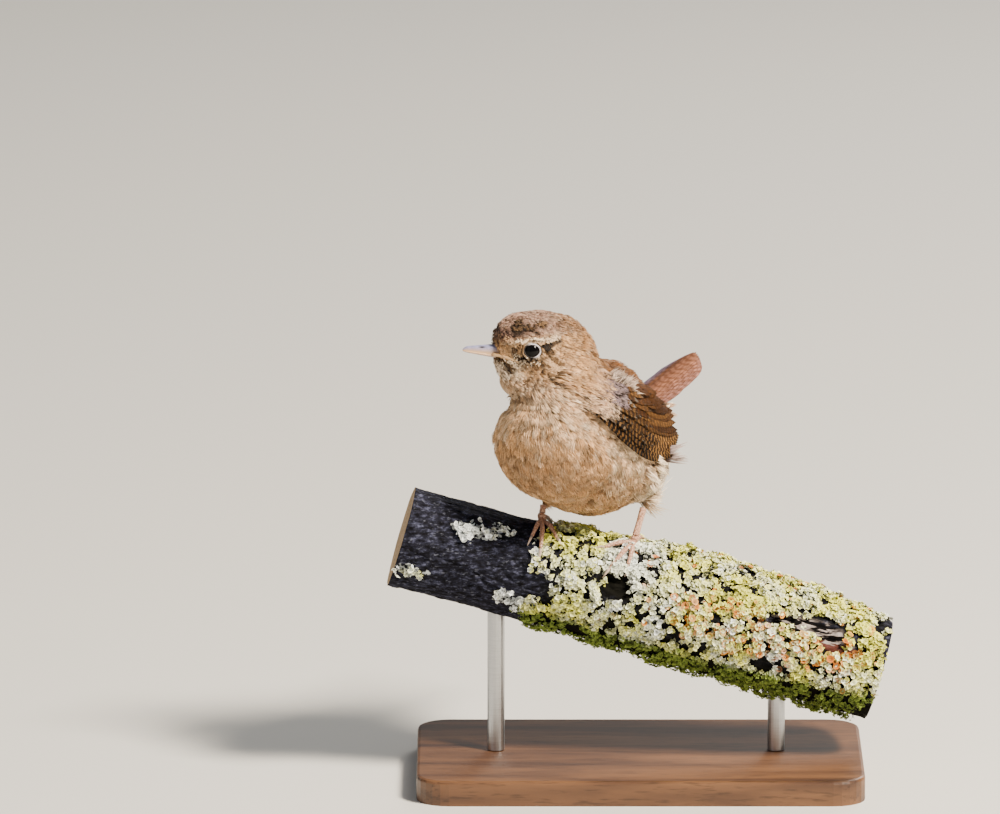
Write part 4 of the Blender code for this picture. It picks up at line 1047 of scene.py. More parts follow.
for side, label in BOTH_SIDES:
    chart, parts = wing_chart(side), []
    rng = np.random.default_rng(31)
    for patch, count, along, up, heights, long, wide, raised, turn, shade, dark in TUFT_PATCHES:
        u, v = rng.uniform(*along, count), rng.uniform(*up, count)
        level = np.interp(u, along, heights) * (FAR_TUFT_LEVEL if side == RIGHT else 1)
        foot = chart(u, v, level)
        rising = np.radians(turn + rng.normal(0, 10, count))
        lie = unit(chart(u + 0.5 * np.cos(rising), v + 0.5 * np.sin(rising), level) - foot)
        out = unit(chart(u, v, level + 0.5) - foot)
        tone = np.tile(shade, (count, 1))
        if patch == "front":
            share = rise(u, -6.0, 1.0)[:, None]
            place, skin_out = nearest_skin(foot)
            foot = (place + skin_out * 0.3 * MM) * (1 - share) + foot * share
            share = rise(u, -2.0, 4.5)[:, None]
            tone = markings(foot) * (1 - share) + tone * share
        tone = tone + rng.normal(0, 0.1, (count, 4))
        tone[:, 2] += 0.7 * (rng.uniform(0, 1, count) < dark)
        size = rng.uniform(0.75, 1.25, count)
        raised_by = raised * size * (FAR_TUFT_LIFT if side == RIGHT else 1)
        parts.append((foot, out, lie, np.clip(tone, 0, 1), long * size, np.full(count, wide), raised_by))
    joined = [np.concatenate(part) for part in zip(*parts)]
    barb_fans(
        "coat_shoulder_" + label, *joined[:4], uv_below(joined[0]), *joined[4:], (-9, 4), 90, stray=7.0,
        droop=24.0,
    )

# %% Loose wisps at the vent, the wing tip and under the tail
# Each wisp: the photograph's pixels at its root and at its tip, how many feathers, and its rufous, pale,
# dusky and grey. Wisps run in a plane that faces the camera.
WISPS = (
    ((660, 452), (688, 444), 4, (0.0, 0.25, 0.4, 1.0)), ((662, 457), (689, 457), 3, (0.0, 0.3, 0.35, 1.0)),
    ((652, 480), (661, 493), 3, (0.0, 0.9, 0.0, 0.4)), ((645, 470), (662, 484), 5, (0.0, 1.0, 0.0, 0.1)),
    ((652, 462), (668, 474), 6, (0.0, 1.0, 0.0, 0.1)), ((650, 455), (667, 464), 6, (0.0, 1.0, 0.0, 0.1)),
    ((662, 411), (672, 403), 7, (0.0, 1.0, 0.0, 0.2)), ((664, 414), (680, 417), 3, (0.4, 0.3, 0.3, 0.3)),
    ((662, 406), (677, 404), 3, (0.5, 0.2, 0.3, 0.2)),
)
WISP_WIDTH, WISP_LIFT = 0.55, 0.6
rng = np.random.default_rng(17)
rows = []
sight = np.array(camera.rotation_euler.to_matrix())
for foot, tip, count, tone in WISPS:
    start = seen_at(*foot, TAIL.translation)
    run = (tip[0] - foot[0]) * sight[:, 0] + (foot[1] - tip[1]) * sight[:, 1]
    reach = np.linalg.norm(run) / PIXELS_PER_MM
    for _ in range(count):
        spot = start + rng.normal(0, 0.3, 3) * MM
        length = reach * rng.uniform(0.8, 1.1)
        rows.append((spot, sight[:, 2], unit(run), tone, uv_below([spot])[0], length, WISP_WIDTH, WISP_LIFT))
barb_fans("coat_wisps", *(np.array(column) for column in zip(*rows)), (-8, 1), 91, stray=4.0, droop=60.0)

# %% Single feathers that draw the marks of the face
# Each mark: the photograph's pixels along it, how many feathers, how far they stray in pixels, their length
# in millimetres, and their rufous, pale, dusky and grey.
MARK_WIDTH, LONG_MARK = 0.19, 2.4
FACE_MARKS = (
    (((543.5, 347.3), (549.5, 348.2)), 90, 0.8, 1.1, (0, 0, 1.3, 0)),
    (((548.6, 346.8), (554.5, 343.2), (559.6, 341.0)), 56, 0.8, 1.3, (0, 0, 0.98, 0)),
    (((547.5, 353.0), (553.5, 351.4)), 14, 0.9, 1.2, (0.1, 0, 0.8, 0)),
    (((522.5, 343.6), (528.1, 340.4), (536.0, 339.0), (545.0, 340.6)), 40, 0.5, 1.0, (0, 0.9, 0, 0)),
    (((546.0, 340.6), (559.6, 337.3)), 26, 1.5, 1.6, (0, 0.7, 0, 0.1)),
    (((516.0, 341.6), (521.5, 339.8)), 14, 1.2, 1.0, (0, 0.8, 0, 0.5)),
    # The next three rows are painted shadow: the dark patch among the ruffled feathers of the forehead.
    (((519.4, 323.5), (519.4, 331.0)), 32, 2.6, 1.6, (0, 0, 0.9, 0)),
    (((524.0, 329.0), (536.4, 331.5)), 16, 2.2, 1.6, (0.2, 0, 0.9, 0)),
    (((538.0, 327.0), (547.0, 324.4)), 14, 0.9, 1.6, (0.3, 0, 0.6, 0)),
    (((492.0, 341.0), (500.0, 336.5), (509.0, 333.0)), 26, 2.8, 1.2, (0.3, 0, 0.6, 0.3)),
    (((505.5, 338.9), (513.2, 340.6)), 18, 1.4, 1.1, (0.5, 0.2, 0, 0)),
    (((515.5, 353.5), (520.0, 358.5), (526.4, 361.2), (538.0, 359.6)), 80, 1.6, 0.8, (0, 0, 1.0, 0)),
    (((515.0, 354.0), (520.0, 359.4), (527.0, 362.8), (539.0, 360.8)), 60, 1.8, 0.7, (0, 1.0, 0, 0)),
    (((513.5, 351.2), (522.0, 348.4)), 14, 1.3, 0.9, (0.3, 0, 0.7, 0)),
    (((497.0, 358.2), (504.9, 360.2), (509.0, 364.7), (513.2, 372.9)), 56, 0.8, 1.1, (0, 0, 1.0, 0)),
    (((507.4, 359.8), (519.8, 366.5)), 26, 1.0, 1.2, (0, 0.9, 0, 0)),
    (((498.0, 362.0), (503.0, 371.0), (509.0, 379.0)), 54, 2.4, 1.5, (0, 0.9, 0, 0.5)),
    (((543.0, 363.5), (551.0, 366.8)), 10, 0.5, 1.4, (0.2, 0, 0.75, 0)),
    (((554.6, 361.0), (565.0, 365.5)), 12, 0.5, 1.6, (0.2, 0, 0.65, 0)),
    (((533.0, 366.0), (541.0, 370.8)), 10, 0.5, 1.4, (0.2, 0, 0.7, 0)),
    (((550.0, 357.4), (559.0, 359.8)), 10, 0.5, 1.5, (0.2, 0, 0.65, 0)),
    (((545.0, 372.6), (555.0, 376.4)), 12, 0.6, 1.7, (0.2, 0, 0.6, 0)),
    (((550.0, 363.0), (560.0, 365.5), (568.0, 368.0)), 90, 3.0, 3.4, (0.1, 0.3, 0, 0)),
)
rng = np.random.default_rng(29)
spots, sizes, tones = [], [], []
for line, count, spread, long, tone in FACE_MARKS:
    line = np.array(line)
    at = rng.uniform(0, len(line) - 1, count)
    pixels = np.stack([np.interp(at, range(len(line)), line[:, k]) for k in (0, 1)], axis=1)
    spots += [seen_at(x, y, HEAD.translation) for x, y in pixels + rng.normal(0, spread, (count, 2))]
    sizes.append(long * rng.uniform(0.8, 1.2, count))
    tones.append(np.clip(np.array(tone) * rng.uniform(0.7, 1.1, (count, 1)), 0, 1))
seen, long, tone = places_in(HEAD, np.array(spots)), np.concatenate(sizes), np.concatenate(tones)
for side, label in BOTH_SIDES:
    place, out = nearest_skin(out_of(HEAD, seen * (1, side, 1)))
    lie = lie_of_coat(place, out)
    foot = place - lie * (0.6 * long * MM)[:, None] + out * 0.3 * MM
    width, lift = np.full(len(foot), MARK_WIDTH), np.where(long > LONG_MARK, 0.45, 0.65)
    barb_fans(
        "coat_face_marks_" + label, foot, out, lie, tone, uv_below(foot), long, width, lift, (-5, 8), 93, 9.0,
        8.0, np.clip(0.5 - 0.6 * tone[:, 2], 0, 1),
    )

# %% A pale ring of tiny feathers round each eye
RING_FEATHERS, RING_RADIUS, RING_OUT = 150, 2.5, 1.5
RING_WIDTH, RING_LIFT = 0.2, 0.16
for side, label in BOTH_SIDES:
    rng = np.random.default_rng(23)
    turn = np.linspace(0, 2 * np.pi, RING_FEATHERS, endpoint=False) + rng.normal(0, 0.02, RING_FEATHERS)
    back, up = np.cos(turn), np.sin(turn)
    local = np.stack([0 * turn, side * back, up], axis=1)
    axes, middle = np.array(eye_frame(side))[:3, :3], np.array(eye_frame(side))[:3, 3]
    lie = unit(local @ axes.T - 0.25 * axes[:, 0])
    out = unit(np.tile(axes[:, 0], (RING_FEATHERS, 1)) + 0.3 * local @ axes.T)
    oval_ring = local * np.array((1, 0.97, 0.8))
    foot = middle + (axes[:, 0] * RING_OUT + (oval_ring @ axes.T) * RING_RADIUS) * MM
    strength = 0.25 + 0.75 * rise(back * 0.8 + up * 0.6, -0.5, 0.45)
    patchy = np.where(rng.uniform(0, 1, RING_FEATHERS) < strength, 1.0, 0.15)
    tone = np.stack([0 * turn, patchy, 0.85 * (1 - patchy), 0.3 * patchy], axis=1)
    long = 0.45 + 0.2 * rise(back + 0.6 * up, -0.4, 0.9)
    width, lift = np.full(RING_FEATHERS, RING_WIDTH), np.full(RING_FEATHERS, RING_LIFT)
    barb_fans(
        "coat_eye_ring_" + label, foot, out, lie, tone, uv_below(foot), long, width, lift, (2, 8), 92, 5.0,
        20.0, 0.3 + 0.5 * patchy,
    )

# %% Horn material
horn, tree, shader = new_material("bill horn", 0.3, IOR=1.54)
place = add(tree, "TexCoord").outputs["Object"]
streaks = add(tree, "TexNoise", {"Vector": place, "Scale": 900.0, "Detail": 3.0})  # 1.1 mm across
edge = add(tree, "Attribute", attribute_name="Edge")
nostril = add(tree, "Attribute", attribute_name="Nostril")
dark = add(tree, "Mix", {0: streaks, 6: hue("#605f80"), 7: hue("#a5a6cc")}, data_type="RGBA")
pale = add(tree, "Mix", {0: edge.outputs["Fac"], 6: dark, 7: hue("#d8ae7c")}, data_type="RGBA")
# The nostril is painted nearly black: painted shade inside its opening.
nostril_shaded = add(tree, "Mix", {0: nostril.outputs["Fac"], 6: pale, 7: hue("#15100f")}, data_type="RGBA")
bump = add(tree, "Bump", {"Height": streaks, "Strength": 0.15, "Distance": 0.0001})
connect(tree, shader, {"Base Color": nostril_shaded, "Normal": bump})


# %% Bill
def outward_mesh(name, points, faces):
    """A closed mesh from points and faces, with its faces turned outwards."""
    mesh = bpy.data.meshes.new(name)
    mesh.from_pydata(points.tolist(), [], faces)
    shape = bmesh.new()
    shape.from_mesh(mesh)
    bmesh.ops.recalc_face_normals(shape, faces=shape.faces)
    shape.to_mesh(mesh)
    shape.free()
    return mesh


def rounded_piece(name, mesh):
    """A piece whose edges sharper than 50 degrees stay sharp."""
    piece = new_object(name, mesh)
    bpy.ops.object.select_all(action="DESELECT")
    piece.select_set(True)
    bpy.context.view_layer.objects.active = piece
    bpy.ops.object.shade_smooth_by_angle(angle=math.radians(50))
    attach(piece, "root")
    return piece


def ring_faces(rings, sides):
    """Quads between rings of points, and a face over each end."""
    ij = np.arange(rings * sides).reshape(rings, sides)
    ahead = np.roll(ij, -1, axis=1)
    quads = np.stack([ij[:-1], ij[1:], ahead[1:], ahead[:-1]], axis=-1).reshape(-1, 4)
    return [tuple(quad) for quad in quads] + [tuple(ij[0]), tuple(ij[-1][::-1])]


BILL_ROOT, BILL_LENGTH, BILL_HALF_WIDTH = 11.2, 11.6, 2.05
BLUNT_SHARE = 0.14
CUTTING_EDGE = -4.45  # its height at the root
NOSTRIL, NOSTRIL_SWELL = 17.6, 15.1  # forward from the middle of the head
NOSTRIL_TURN = 0.85


def bill_half(name, height, sign, node):
    """One mandible, lofted from half-round rings that narrow slowly and end in a blunt tip."""
    rings, sides = 64, 34
    share = 1 - (1 - np.linspace(0, 1, rings)[:, None]) ** 1.5
    angle = np.linspace(0, np.pi, sides)[None, :]
    blunt = np.sqrt(np.clip(1 - ((share - (1 - BLUNT_SHARE)) / BLUNT_SHARE).clip(0) ** 2, 0.01, 1))
    deep = height * (1 - 0.66 * share) * blunt
    wide = BILL_HALF_WIDTH * (1 - share) ** 0.85 + 0.34 * blunt
    forward = BILL_ROOT + BILL_LENGTH * share + 0 * angle
    across = np.cos(angle) * wide * np.sin(np.minimum(angle, np.pi - angle) + 0.9).clip(0.8, 1)
    up = CUTTING_EDGE + 0.4 * share + sign * np.sin(angle) ** 0.85 * deep
    hole = np.zeros(forward.shape)
    if sign > 0:
        both_sides = bell(angle - NOSTRIL_TURN, 0.2) + bell(np.pi - angle - NOSTRIL_TURN, 0.2)
        hole = bell(forward - NOSTRIL, 0.85) * both_sides
        across = across * (1 - 0.14 * hole)
        swell = bell(forward - NOSTRIL_SWELL, 1.0) * bell(np.abs(np.cos(angle)) - 0.55, 0.25)
        across = across * (1 + 0.14 * swell)
    points = out_of(HEAD, np.stack([forward, across, up], axis=-1)).reshape(-1, 3)
    mesh = outward_mesh(name, points, ring_faces(rings, sides))
    low = (1 - np.sin(angle) + 0 * share) ** 2.2
    write_value(mesh, "Edge", (low if sign > 0 else 0.55 + 0.4 * low).ravel())
    write_value(mesh, "Nostril", np.clip(hole * 1.3, 0, 1).ravel())
    piece = rounded_piece(name, mesh)
    mesh.materials.append(horn)
    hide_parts(node)


bill_half("horn_bill_upper", 3.2, 1, "bill_upper")
bill_half("horn_bill_lower", 1.25, -1, "bill_lower")

# %% The soft pale corner of the mouth
# The line of the mouth's corner, forward and up in the head, from the bill back. A ray from outside finds the
# skin behind each place, and where it misses, beside the bill, the line keeps to the bill's half width.
GAPE = ((14.4, -4.25), (12.6, -4.2), (11.0, -4.35), (9.4, -4.7), (7.9, -5.1))
GAPE_RADIUS, GAPE_SIDES, GAPE_RINGS, GAPE_OUT = 0.46, 12, 25, 0.32
OUTSIDE, BESIDE_BILL = 30, 1.6
for side, label in BOTH_SIDES:
    middle = []
    for forward, up in GAPE:
        start = HEAD @ (Vector((forward, side * OUTSIDE, up)) * MM)
        hit = skin_tree.ray_cast(start, HEAD.to_3x3() @ Vector((0, -side, 0)))
        middle.append(np.array(hit[0] or HEAD @ (Vector((forward, side * BESIDE_BILL, up)) * MM)))
    middle = np.array(middle)
    fine = np.linspace(0, len(GAPE) - 1, GAPE_RINGS)
    path = np.stack([np.interp(fine, range(len(GAPE)), middle[:, k]) for k in range(3)], axis=1)
    out = unit(turned_by(HEAD, [(0.25, side, 0)]))
    path = path + out * GAPE_OUT * MM
    run = unit(np.gradient(path, axis=0))
    over = unit(np.cross(run, out))
    turn = np.linspace(0, 2 * np.pi, GAPE_SIDES, endpoint=False)[None, :, None]
    radius = GAPE_RADIUS * np.sqrt(np.clip(1 - (fine / fine[-1]) ** 3, 0.02, 1))[:, None, None] * MM
    rings = path[:, None] + radius * (np.cos(turn) * over[:, None] + np.sin(turn) * out)
    mesh = outward_mesh("gape_" + label, rings.reshape(-1, 3), ring_faces(len(path), GAPE_SIDES))
    write_value(mesh, "Edge", np.ones(len(mesh.vertices)))
    rounded_piece("gape_" + label, mesh)
    mesh.materials.append(horn)

# %% [markdown]
# ## Legs, feet and claws
#
# The shanks and toes are bare skin under overlapping horny scutes, pinkish orange on a wren. The solids
# have the right shapes, so they stay, and the scutes come from the material.

# %% Scaled skin and claw horn
scutes, tree, shader = new_material("scaled leg skin", 0.42, IOR=1.5)
place = add(tree, "TexCoord").outputs["Object"]
# Cells 0.9 mm across.
cells = add(tree, "TexVoronoi", {"Vector": place, "Scale": 1100.0}, feature="DISTANCE_TO_EDGE")
tone = add(tree, "TexNoise", {"Vector": place, "Scale": 260.0, "Detail": 3.0})  # 3.8 mm across
flesh = add(tree, "Mix", {0: tone, 6: hue("#b9876c"), 7: hue("#d9b09a")}, data_type="RGBA")
groove = add(tree, "MapRange", {"Value": cells, "From Max": 0.12})
edged = add(tree, "Mix", {0: groove, 6: hue("#8a5a3e"), 7: flesh}, data_type="RGBA")
bump = add(tree, "Bump", {"Height": groove, "Strength": 0.5, "Distance": 0.0002})
connect(tree, shader, {"Base Color": edged, "Normal": bump})
claw_horn, tree, shader = new_material("claw horn", 0.3, IOR=1.54)
place = add(tree, "TexCoord").outputs["Object"]
tone = add(tree, "TexNoise", {"Vector": place, "Scale": 500.0, "Detail": 2.0})  # 2.0 mm across
brown = add(tree, "Mix", {0: tone, 6: hue("#a58a78"), 7: hue("#d3bfae")}, data_type="RGBA")
connect(tree, shader, {"Base Color": brown})
for name, node in NODES.items():
    if name.startswith(("shank", "foot")):
        dress(node, scutes)
    if name.startswith("claw"):
        dress(node, claw_horn)
print("claws:", sum(name.startswith("claw") for name in NODES))

# %% [markdown]
# ## The branch
#
# The bird grips a cut length of a dead branch. Its bark is dark purple grey with short wrinkles along the
# grain, and foliose lichens cover the near side: pale grey rosettes, greenish yellow ones between them, and
# a few orange cups. The bark is a fine grid over the solid's own swellings. Each lichen lobe is a small
# crinkled leaf, modelled once as a rule and repeated with its own mesh.

# %% Shape of the branch
PERCH_LENGTH, PERCH_RADIUS = 138.0, 14.4
# Places on the branch: millimetres along it from the middle, and degrees round it from the top.
SCAR, HOLLOW = (47, -57), (-6.5, -67)


def lichen_cover(x, angle):
    """How much the solid swells under the lichens."""
    return np.exp(-(((x - 28) / 34) ** 4)) * (0.5 + 0.5 * np.cos(angle + math.radians(35)))


def branch_radius(x, angle):
    """The solid's radius in millimetres at a place along the perch and round it."""
    s = x / PERCH_LENGTH
    slow = 0.035 * np.sin(7.3 * s + 0.9) + 0.02 * np.sin(3 * angle + 5 * s)
    grain = 0.018 * np.sin(7 * angle + 11 * s) * np.sin(23 * s + 1.3)
    bumps = 0.10 * np.sin(61 * s + 2 * angle) * np.sin(5 * angle - 37 * s)
    return PERCH_RADIUS * (1 + slow + grain) + 2.2 * lichen_cover(x, angle) * (0.85 + bumps)


def round_perch(x, angle, radius, bow=0.0):
    """World points along the perch and round it."""
    across, up = np.sin(angle) * radius, np.cos(angle) * radius + bow
    return out_of(PERCH, np.stack([x + 0 * radius, across, up], axis=-1))


def branch_point(x, angle, height=0.0):
    """World points on the bowed branch, or over it."""
    bow = 0.9 * np.sin(np.pi * (x / PERCH_LENGTH + 0.4))
    return round_perch(x, angle, branch_radius(x, angle) + height, bow)


# %% Where lichens grow, and where they don't
def oval(x, turn, x_middle, turn_middle, x_size, turn_size):
    """1 in the middle of an oval on the branch and 0 outside it."""
    away = ((x - x_middle) / x_size) ** 2 + ((turn - turn_middle) / turn_size) ** 2
    return 1 - rise(away, 0.6, 1.2)


def lichen_share(x, angle):
    """From 0, bare bark, to 1. The scar and the hollow are bare, and two thin crusts lie to the left."""
    turn = np.degrees(angle)
    main = rise(x, -31, -25) * (1 - rise(x, 66, 69)) * rise(turn, -175, -150) * (1 - rise(turn, 30, 62))
    main = main * (1 - oval(x, turn, *SCAR, 16, 14)) * (1 - oval(x, turn, *HOLLOW, 6.5, 12))
    crusts = 0.5 * oval(x, turn, -50, -48, 7.5, 8) + 0.5 * oval(x, turn, -34, -120, 8, 12)
    return np.maximum(main, crusts + 0.35 * oval(x, turn, -64, -116, 5, 9))


# %% Bark
RINGS, SIDES = 360, 230
NOISE_RADIUS = 14.0  # the noise is read on a plain cylinder, about as thick as the branch
x = np.linspace(-PERCH_LENGTH / 2, PERCH_LENGTH / 2, RINGS)[:, None] + np.zeros((1, SIDES))
angle = np.linspace(-np.pi, np.pi, SIDES, endpoint=False)[None, :] + np.zeros((RINGS, 1))
turn = np.degrees(angle)
around = (np.sin(angle) * NOISE_RADIUS, np.cos(angle) * NOISE_RADIUS)
along_grain = np.stack([x * 0.3, *around], axis=-1).reshape(-1, 3) * MM
wrinkle = cloud(along_grain, 2.2, 5) * 0.22 + cloud(along_grain, 0.8, 6) * 0.2
furrow = np.abs(cloud(along_grain, 4.0, 7))
grainy = cloud(round_perch(x, angle, NOISE_RADIUS).reshape(-1, 3), 0.7, 8)
relief = (wrinkle + 0.1 * grainy - 0.4 * np.exp(-((furrow / 0.06) ** 2))).reshape(RINGS, SIDES)
scar = oval(x, turn, *SCAR, 14, 12)
ridges = cloud(along_grain * np.array((0.5, 1, 1)), 0.9, 12).reshape(RINGS, SIDES)
relief = relief * (1 - 0.4 * lichen_cover(x, angle)) - 0.12 + scar * (1.6 * ridges - 0.9)
relief = relief - 1.3 * oval(x, turn, *HOLLOW, 6.5, 12)
points = branch_point(x, angle, relief).reshape(-1, 3)
ij = np.arange(RINGS * SIDES).reshape(RINGS, SIDES)
ahead = np.roll(ij, -1, axis=1)
quads = np.stack([ij[:-1], ahead[:-1], ahead[1:], ij[1:]], axis=-1).reshape(-1)
face_sizes = np.concatenate([np.full(len(quads) // 4, 4), [SIDES, SIDES]])
bark_mesh = fill_mesh("bark_branch", points, np.concatenate([quads, ij[0][::-1], ij[-1]]), face_sizes)
white = oval(x, turn, -50, -50, 8.5, 10) + oval(x, turn, -64, -116, 6, 10) + oval(x, turn, -34, -122, 8, 12)
hollow = oval(x, turn, *HOLLOW, 7.5, 14) + oval(x, turn, 3, -70, 5, 8)
# Painted shade, nearly black: on the underside, on the bark under the lichens and in the hollows.
painted_bark_shade = rise(x, -36, -20) * rise(-turn, 105, 125) + 0.8 * lichen_share(x, angle) + hollow
rusty = 0.5 * oval(x, turn, 55, -68, 7, 6)
write_marks(bark_mesh, np.clip(np.stack([white, painted_bark_shade, scar, rusty], axis=-1), 0, 1).reshape(-1, 4))
branch = new_object("bark_branch", bark_mesh)
print("bark:", len(bark_mesh.polygons), "faces")

# %% Bark material
bark, tree, shader = new_material("weathered bark", 0.85, Specular_IOR_Level=0.1)
place = add(tree, "TexCoord").outputs["Object"]
grain = add(tree, "Mapping", {"Vector": place, "Rotation": (0, PERCH_SLOPE, 0), "Scale": (0.5, 1, 1)})
# Blobs 1.2 mm across and twice as long along the grain.
broad = add(tree, "TexNoise", {"Vector": grain, "Scale": 850.0, "Detail": 8.0, "Roughness": 0.72})
fine = add(tree, "TexNoise", {"Vector": grain, "Scale": 1500.0, "Detail": 3.0})  # 0.67 mm across
powder = add(tree, "TexNoise", {"Vector": place, "Scale": 900.0, "Detail": 4.0})  # 1.1 mm across
tone = add(tree, "ValToRGB", {"Fac": broad})
ramp = tone.color_ramp
ramp.elements[0].position, ramp.elements[0].color = 0.4, hue("#121118")
ramp.elements[1].position, ramp.elements[1].color = 0.7, hue("#62657f")
middle = ramp.elements.new(0.54)
middle.color = hue("#2b2c3b")
marks = add(tree, "Attribute", attribute_name="Marks")
parts = add(tree, "SeparateColor", {"Color": marks.outputs["Color"]})


def patchy_amount(amount, threshold):
    """An amount broken up by fine noise, so that its edge is ragged."""
    both = add(tree, "Math", {0: amount, 1: powder}, operation="MULTIPLY")
    return add(tree, "MapRange", {"Value": both, "From Min": threshold, "From Max": threshold + 0.07})


# Small pale grey specks, mixed in at half strength at most.
pale_specks = add(tree, "MapRange", {"Value": fine, "From Min": 0.6, "From Max": 0.72, "To Max": 0.5})
shreds = add(tree, "Mapping", {"Vector": place, "Rotation": (0, PERCH_SLOPE, 0), "Scale": (0.16, 1, 1)})
fibres = add(tree, "TexNoise", {"Vector": shreds, "Scale": 700.0, "Detail": 3.0})  # 1.4 mm across
bare = add(tree, "MapRange", {"Value": fibres, "From Min": 0.52, "From Max": 0.57})
torn = add(tree, "Math", {0: bare, 1: parts.outputs["Blue"]}, operation="MULTIPLY")
layers = (
    (pale_specks, "#8e93a6"),
    # Green is painted shade: the underside, the bark under the lichens and the hollows.
    (parts.outputs["Green"], "#100f09"),
    (parts.outputs["Blue"], "#0d090a"),
    (marks.outputs["Alpha"], "#8a4a35"),
    (torn, "#c4b6b0"),
    (patchy_amount(parts.outputs["Red"], 0.47), "#dfe6e8"),
)
mixed = tone
for amount, code in layers:
    mixed = add(tree, "Mix", {0: amount, 6: mixed, 7: hue(code)}, data_type="RGBA")
grained = add(tree, "MapRange", {"Value": broad, "From Min": 0.35, "To Min": 0.35, "To Max": 1.3})
toned = add(tree, "HueSaturation", {"Color": mixed, "Value": grained})
bump = add(tree, "Bump", {"Height": fine, "Strength": 0.7, "Distance": 0.0004})
connect(tree, shader, {"Base Color": toned, "Normal": bump})
bark_mesh.materials.append(bark)

# %% Cut ends
cut_wood, tree, shader = new_material("sawn end grain", 0.75)
place = add(tree, "TexCoord").outputs["Object"]
turned = add(tree, "VectorMath", {0: place, 1: tuple(PERCH.translation)}, operation="SUBTRACT")
local = add(tree, "VectorRotate", {"Vector": turned, "Axis": (0, 1, 0), "Angle": -PERCH_SLOPE})
parts = add(tree, "SeparateXYZ", {0: local})
flat_place = add(tree, "CombineXYZ", {"Y": parts.outputs["Y"], "Z": parts.outputs["Z"]})
# Year rings 1.2 mm apart.
waves = {"Vector": flat_place, "Scale": 260.0, "Distortion": 3.5, "Detail": 3.0, "Detail Scale": 0.6}
rings = add(tree, "TexWave", waves, wave_type="RINGS", rings_direction="X")
blotch = add(tree, "TexNoise", {"Vector": flat_place, "Scale": 160.0, "Detail": 4.0})  # 6.2 mm across
tone = add(tree, "Mix", {0: rings.outputs["Fac"], 6: hue("#a08058"), 7: hue("#c3a47a")}, data_type="RGBA")
stain = add(
    tree, "MapRange", {"Value": blotch, "From Min": 0.3, "From Max": 0.7, "To Min": 0.72, "To Max": 1.1}
)
stained = add(tree, "HueSaturation", {"Color": tone, "Value": stain})
connect(tree, shader, {"Base Color": stained})
bark_mesh.materials.append(cut_wood)
ends = np.zeros(len(bark_mesh.polygons), np.int32)
ends[-2:] = 1
bark_mesh.polygons.foreach_set("material_index", ends)
bark_mesh.polygons.foreach_set("use_smooth", ends == 0)
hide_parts("perch")
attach(branch, "root")

# %% Lichen lobes
LOBES, LOBE_SIDES = 15800, 8
TRIES = LOBES * 5  # places are tried in turn, and kept by how much lichen grows there
rng = np.random.default_rng(11)
lobe_x = rng.uniform(-69, 68.5, TRIES)
lobe_angle = rng.uniform(np.radians(-172), np.radians(62), TRIES)
spots = branch_point(lobe_x, lobe_angle)
mound = cloud(spots, 5.0, 8)
clump = cloud(spots, 2.2, 9)
ragged = 0.3 * cloud(spots, 9.0, 21)
chance = lichen_share(lobe_x + 28 * ragged, lobe_angle + ragged)
chance = chance * np.clip(0.48 + 0.5 * mound + 2.2 * clump, 0, 1)
kept = np.flatnonzero(rng.uniform(0, 1, len(lobe_x)) < chance)[:LOBES]
lobe_x, lobe_angle, spots = lobe_x[kept], lobe_angle[kept], spots[kept]
mound, clump = mound[kept], clump[kept]
print("lichen lobes:", len(kept))

# %% The shape of every lobe
INNER_AND_RIM = (0.6, 1.0)  # the two rings of a lobe, as shares of its size
count = len(kept)
ahead = branch_point(lobe_x + 0.5, lobe_angle) - spots
round_it = branch_point(lobe_x, lobe_angle + 0.03) - spots
out = unit(np.cross(ahead, round_it))
straight = turned_by(PERCH, np.stack([0 * lobe_x, np.sin(lobe_angle), np.cos(lobe_angle)], axis=1))
out = out * np.sign(np.sum(out * straight, axis=1, keepdims=True))
out = unit(out + rng.normal(0, 0.5, (count, 3)))
first = unit(np.cross(out, rng.normal(0, 1, (count, 3))))
second = np.cross(out, first)
degrees = np.degrees(lobe_angle)
many_cups = oval(lobe_x, degrees, 36, -76, 30, 26)
cup = (rng.uniform(0, 1, count) < 0.02 + 0.2 * many_cups) & (lobe_x > -12) & (degrees > -112)
moss = rise(-degrees + 4 * mound - 0.2 * (60 - lobe_x), 103, 114) * (lobe_x > -34)
size = rng.uniform(0.38, 0.85, count) * (1 + 0.25 * mound) * (1 - 0.25 * moss) * np.where(cup, 1.25, 1.0)
thick = 0.5 + 1.1 * rise(mound, -0.3, 0.6) + 0.9 * rise(clump, -0.2, 0.6)
layer = rng.uniform(0, 1, count) ** 0.7
centre = spots + out * ((0.1 + 0.9 * layer) * thick)[:, None] * MM
around = np.linspace(0, 2 * np.pi, LOBE_SIDES, endpoint=False)[None, :] + rng.uniform(0, 6, (count, 1))
spoke = np.cos(around)[..., None] * first[:, None] + np.sin(around)[..., None] * second[:, None]
shapes = [centre - out * (0.25 * size * (1 + cup))[:, None] * MM]
for share in INNER_AND_RIM:
    wave = 0.28 * np.sin(rng.integers(2, 5, (count, 1)) * around) + rng.normal(0, 0.08, around.shape)
    wavy = 1 + wave * (1 - 0.75 * cup[:, None])
    crinkle = np.sin(rng.integers(2, 5, (count, 1)) * around + 1.3) * (~cup[:, None])
    curl = 0.30 * share**2 + 0.32 * share**2 * crinkle
    reach = (size[:, None] * share * wavy)[..., None] * MM
    level = (size[:, None] * curl)[..., None] * MM
    shapes.append(centre[:, None] + reach * spoke + level * out[:, None])
verts = np.concatenate([shapes[0][:, None], shapes[1], shapes[2]], axis=1)
each = verts.shape[1]
ring = np.arange(LOBE_SIDES)
after = (ring + 1) % LOBE_SIDES
fan = np.stack([0 * ring, 1 + ring, 1 + after], axis=1)
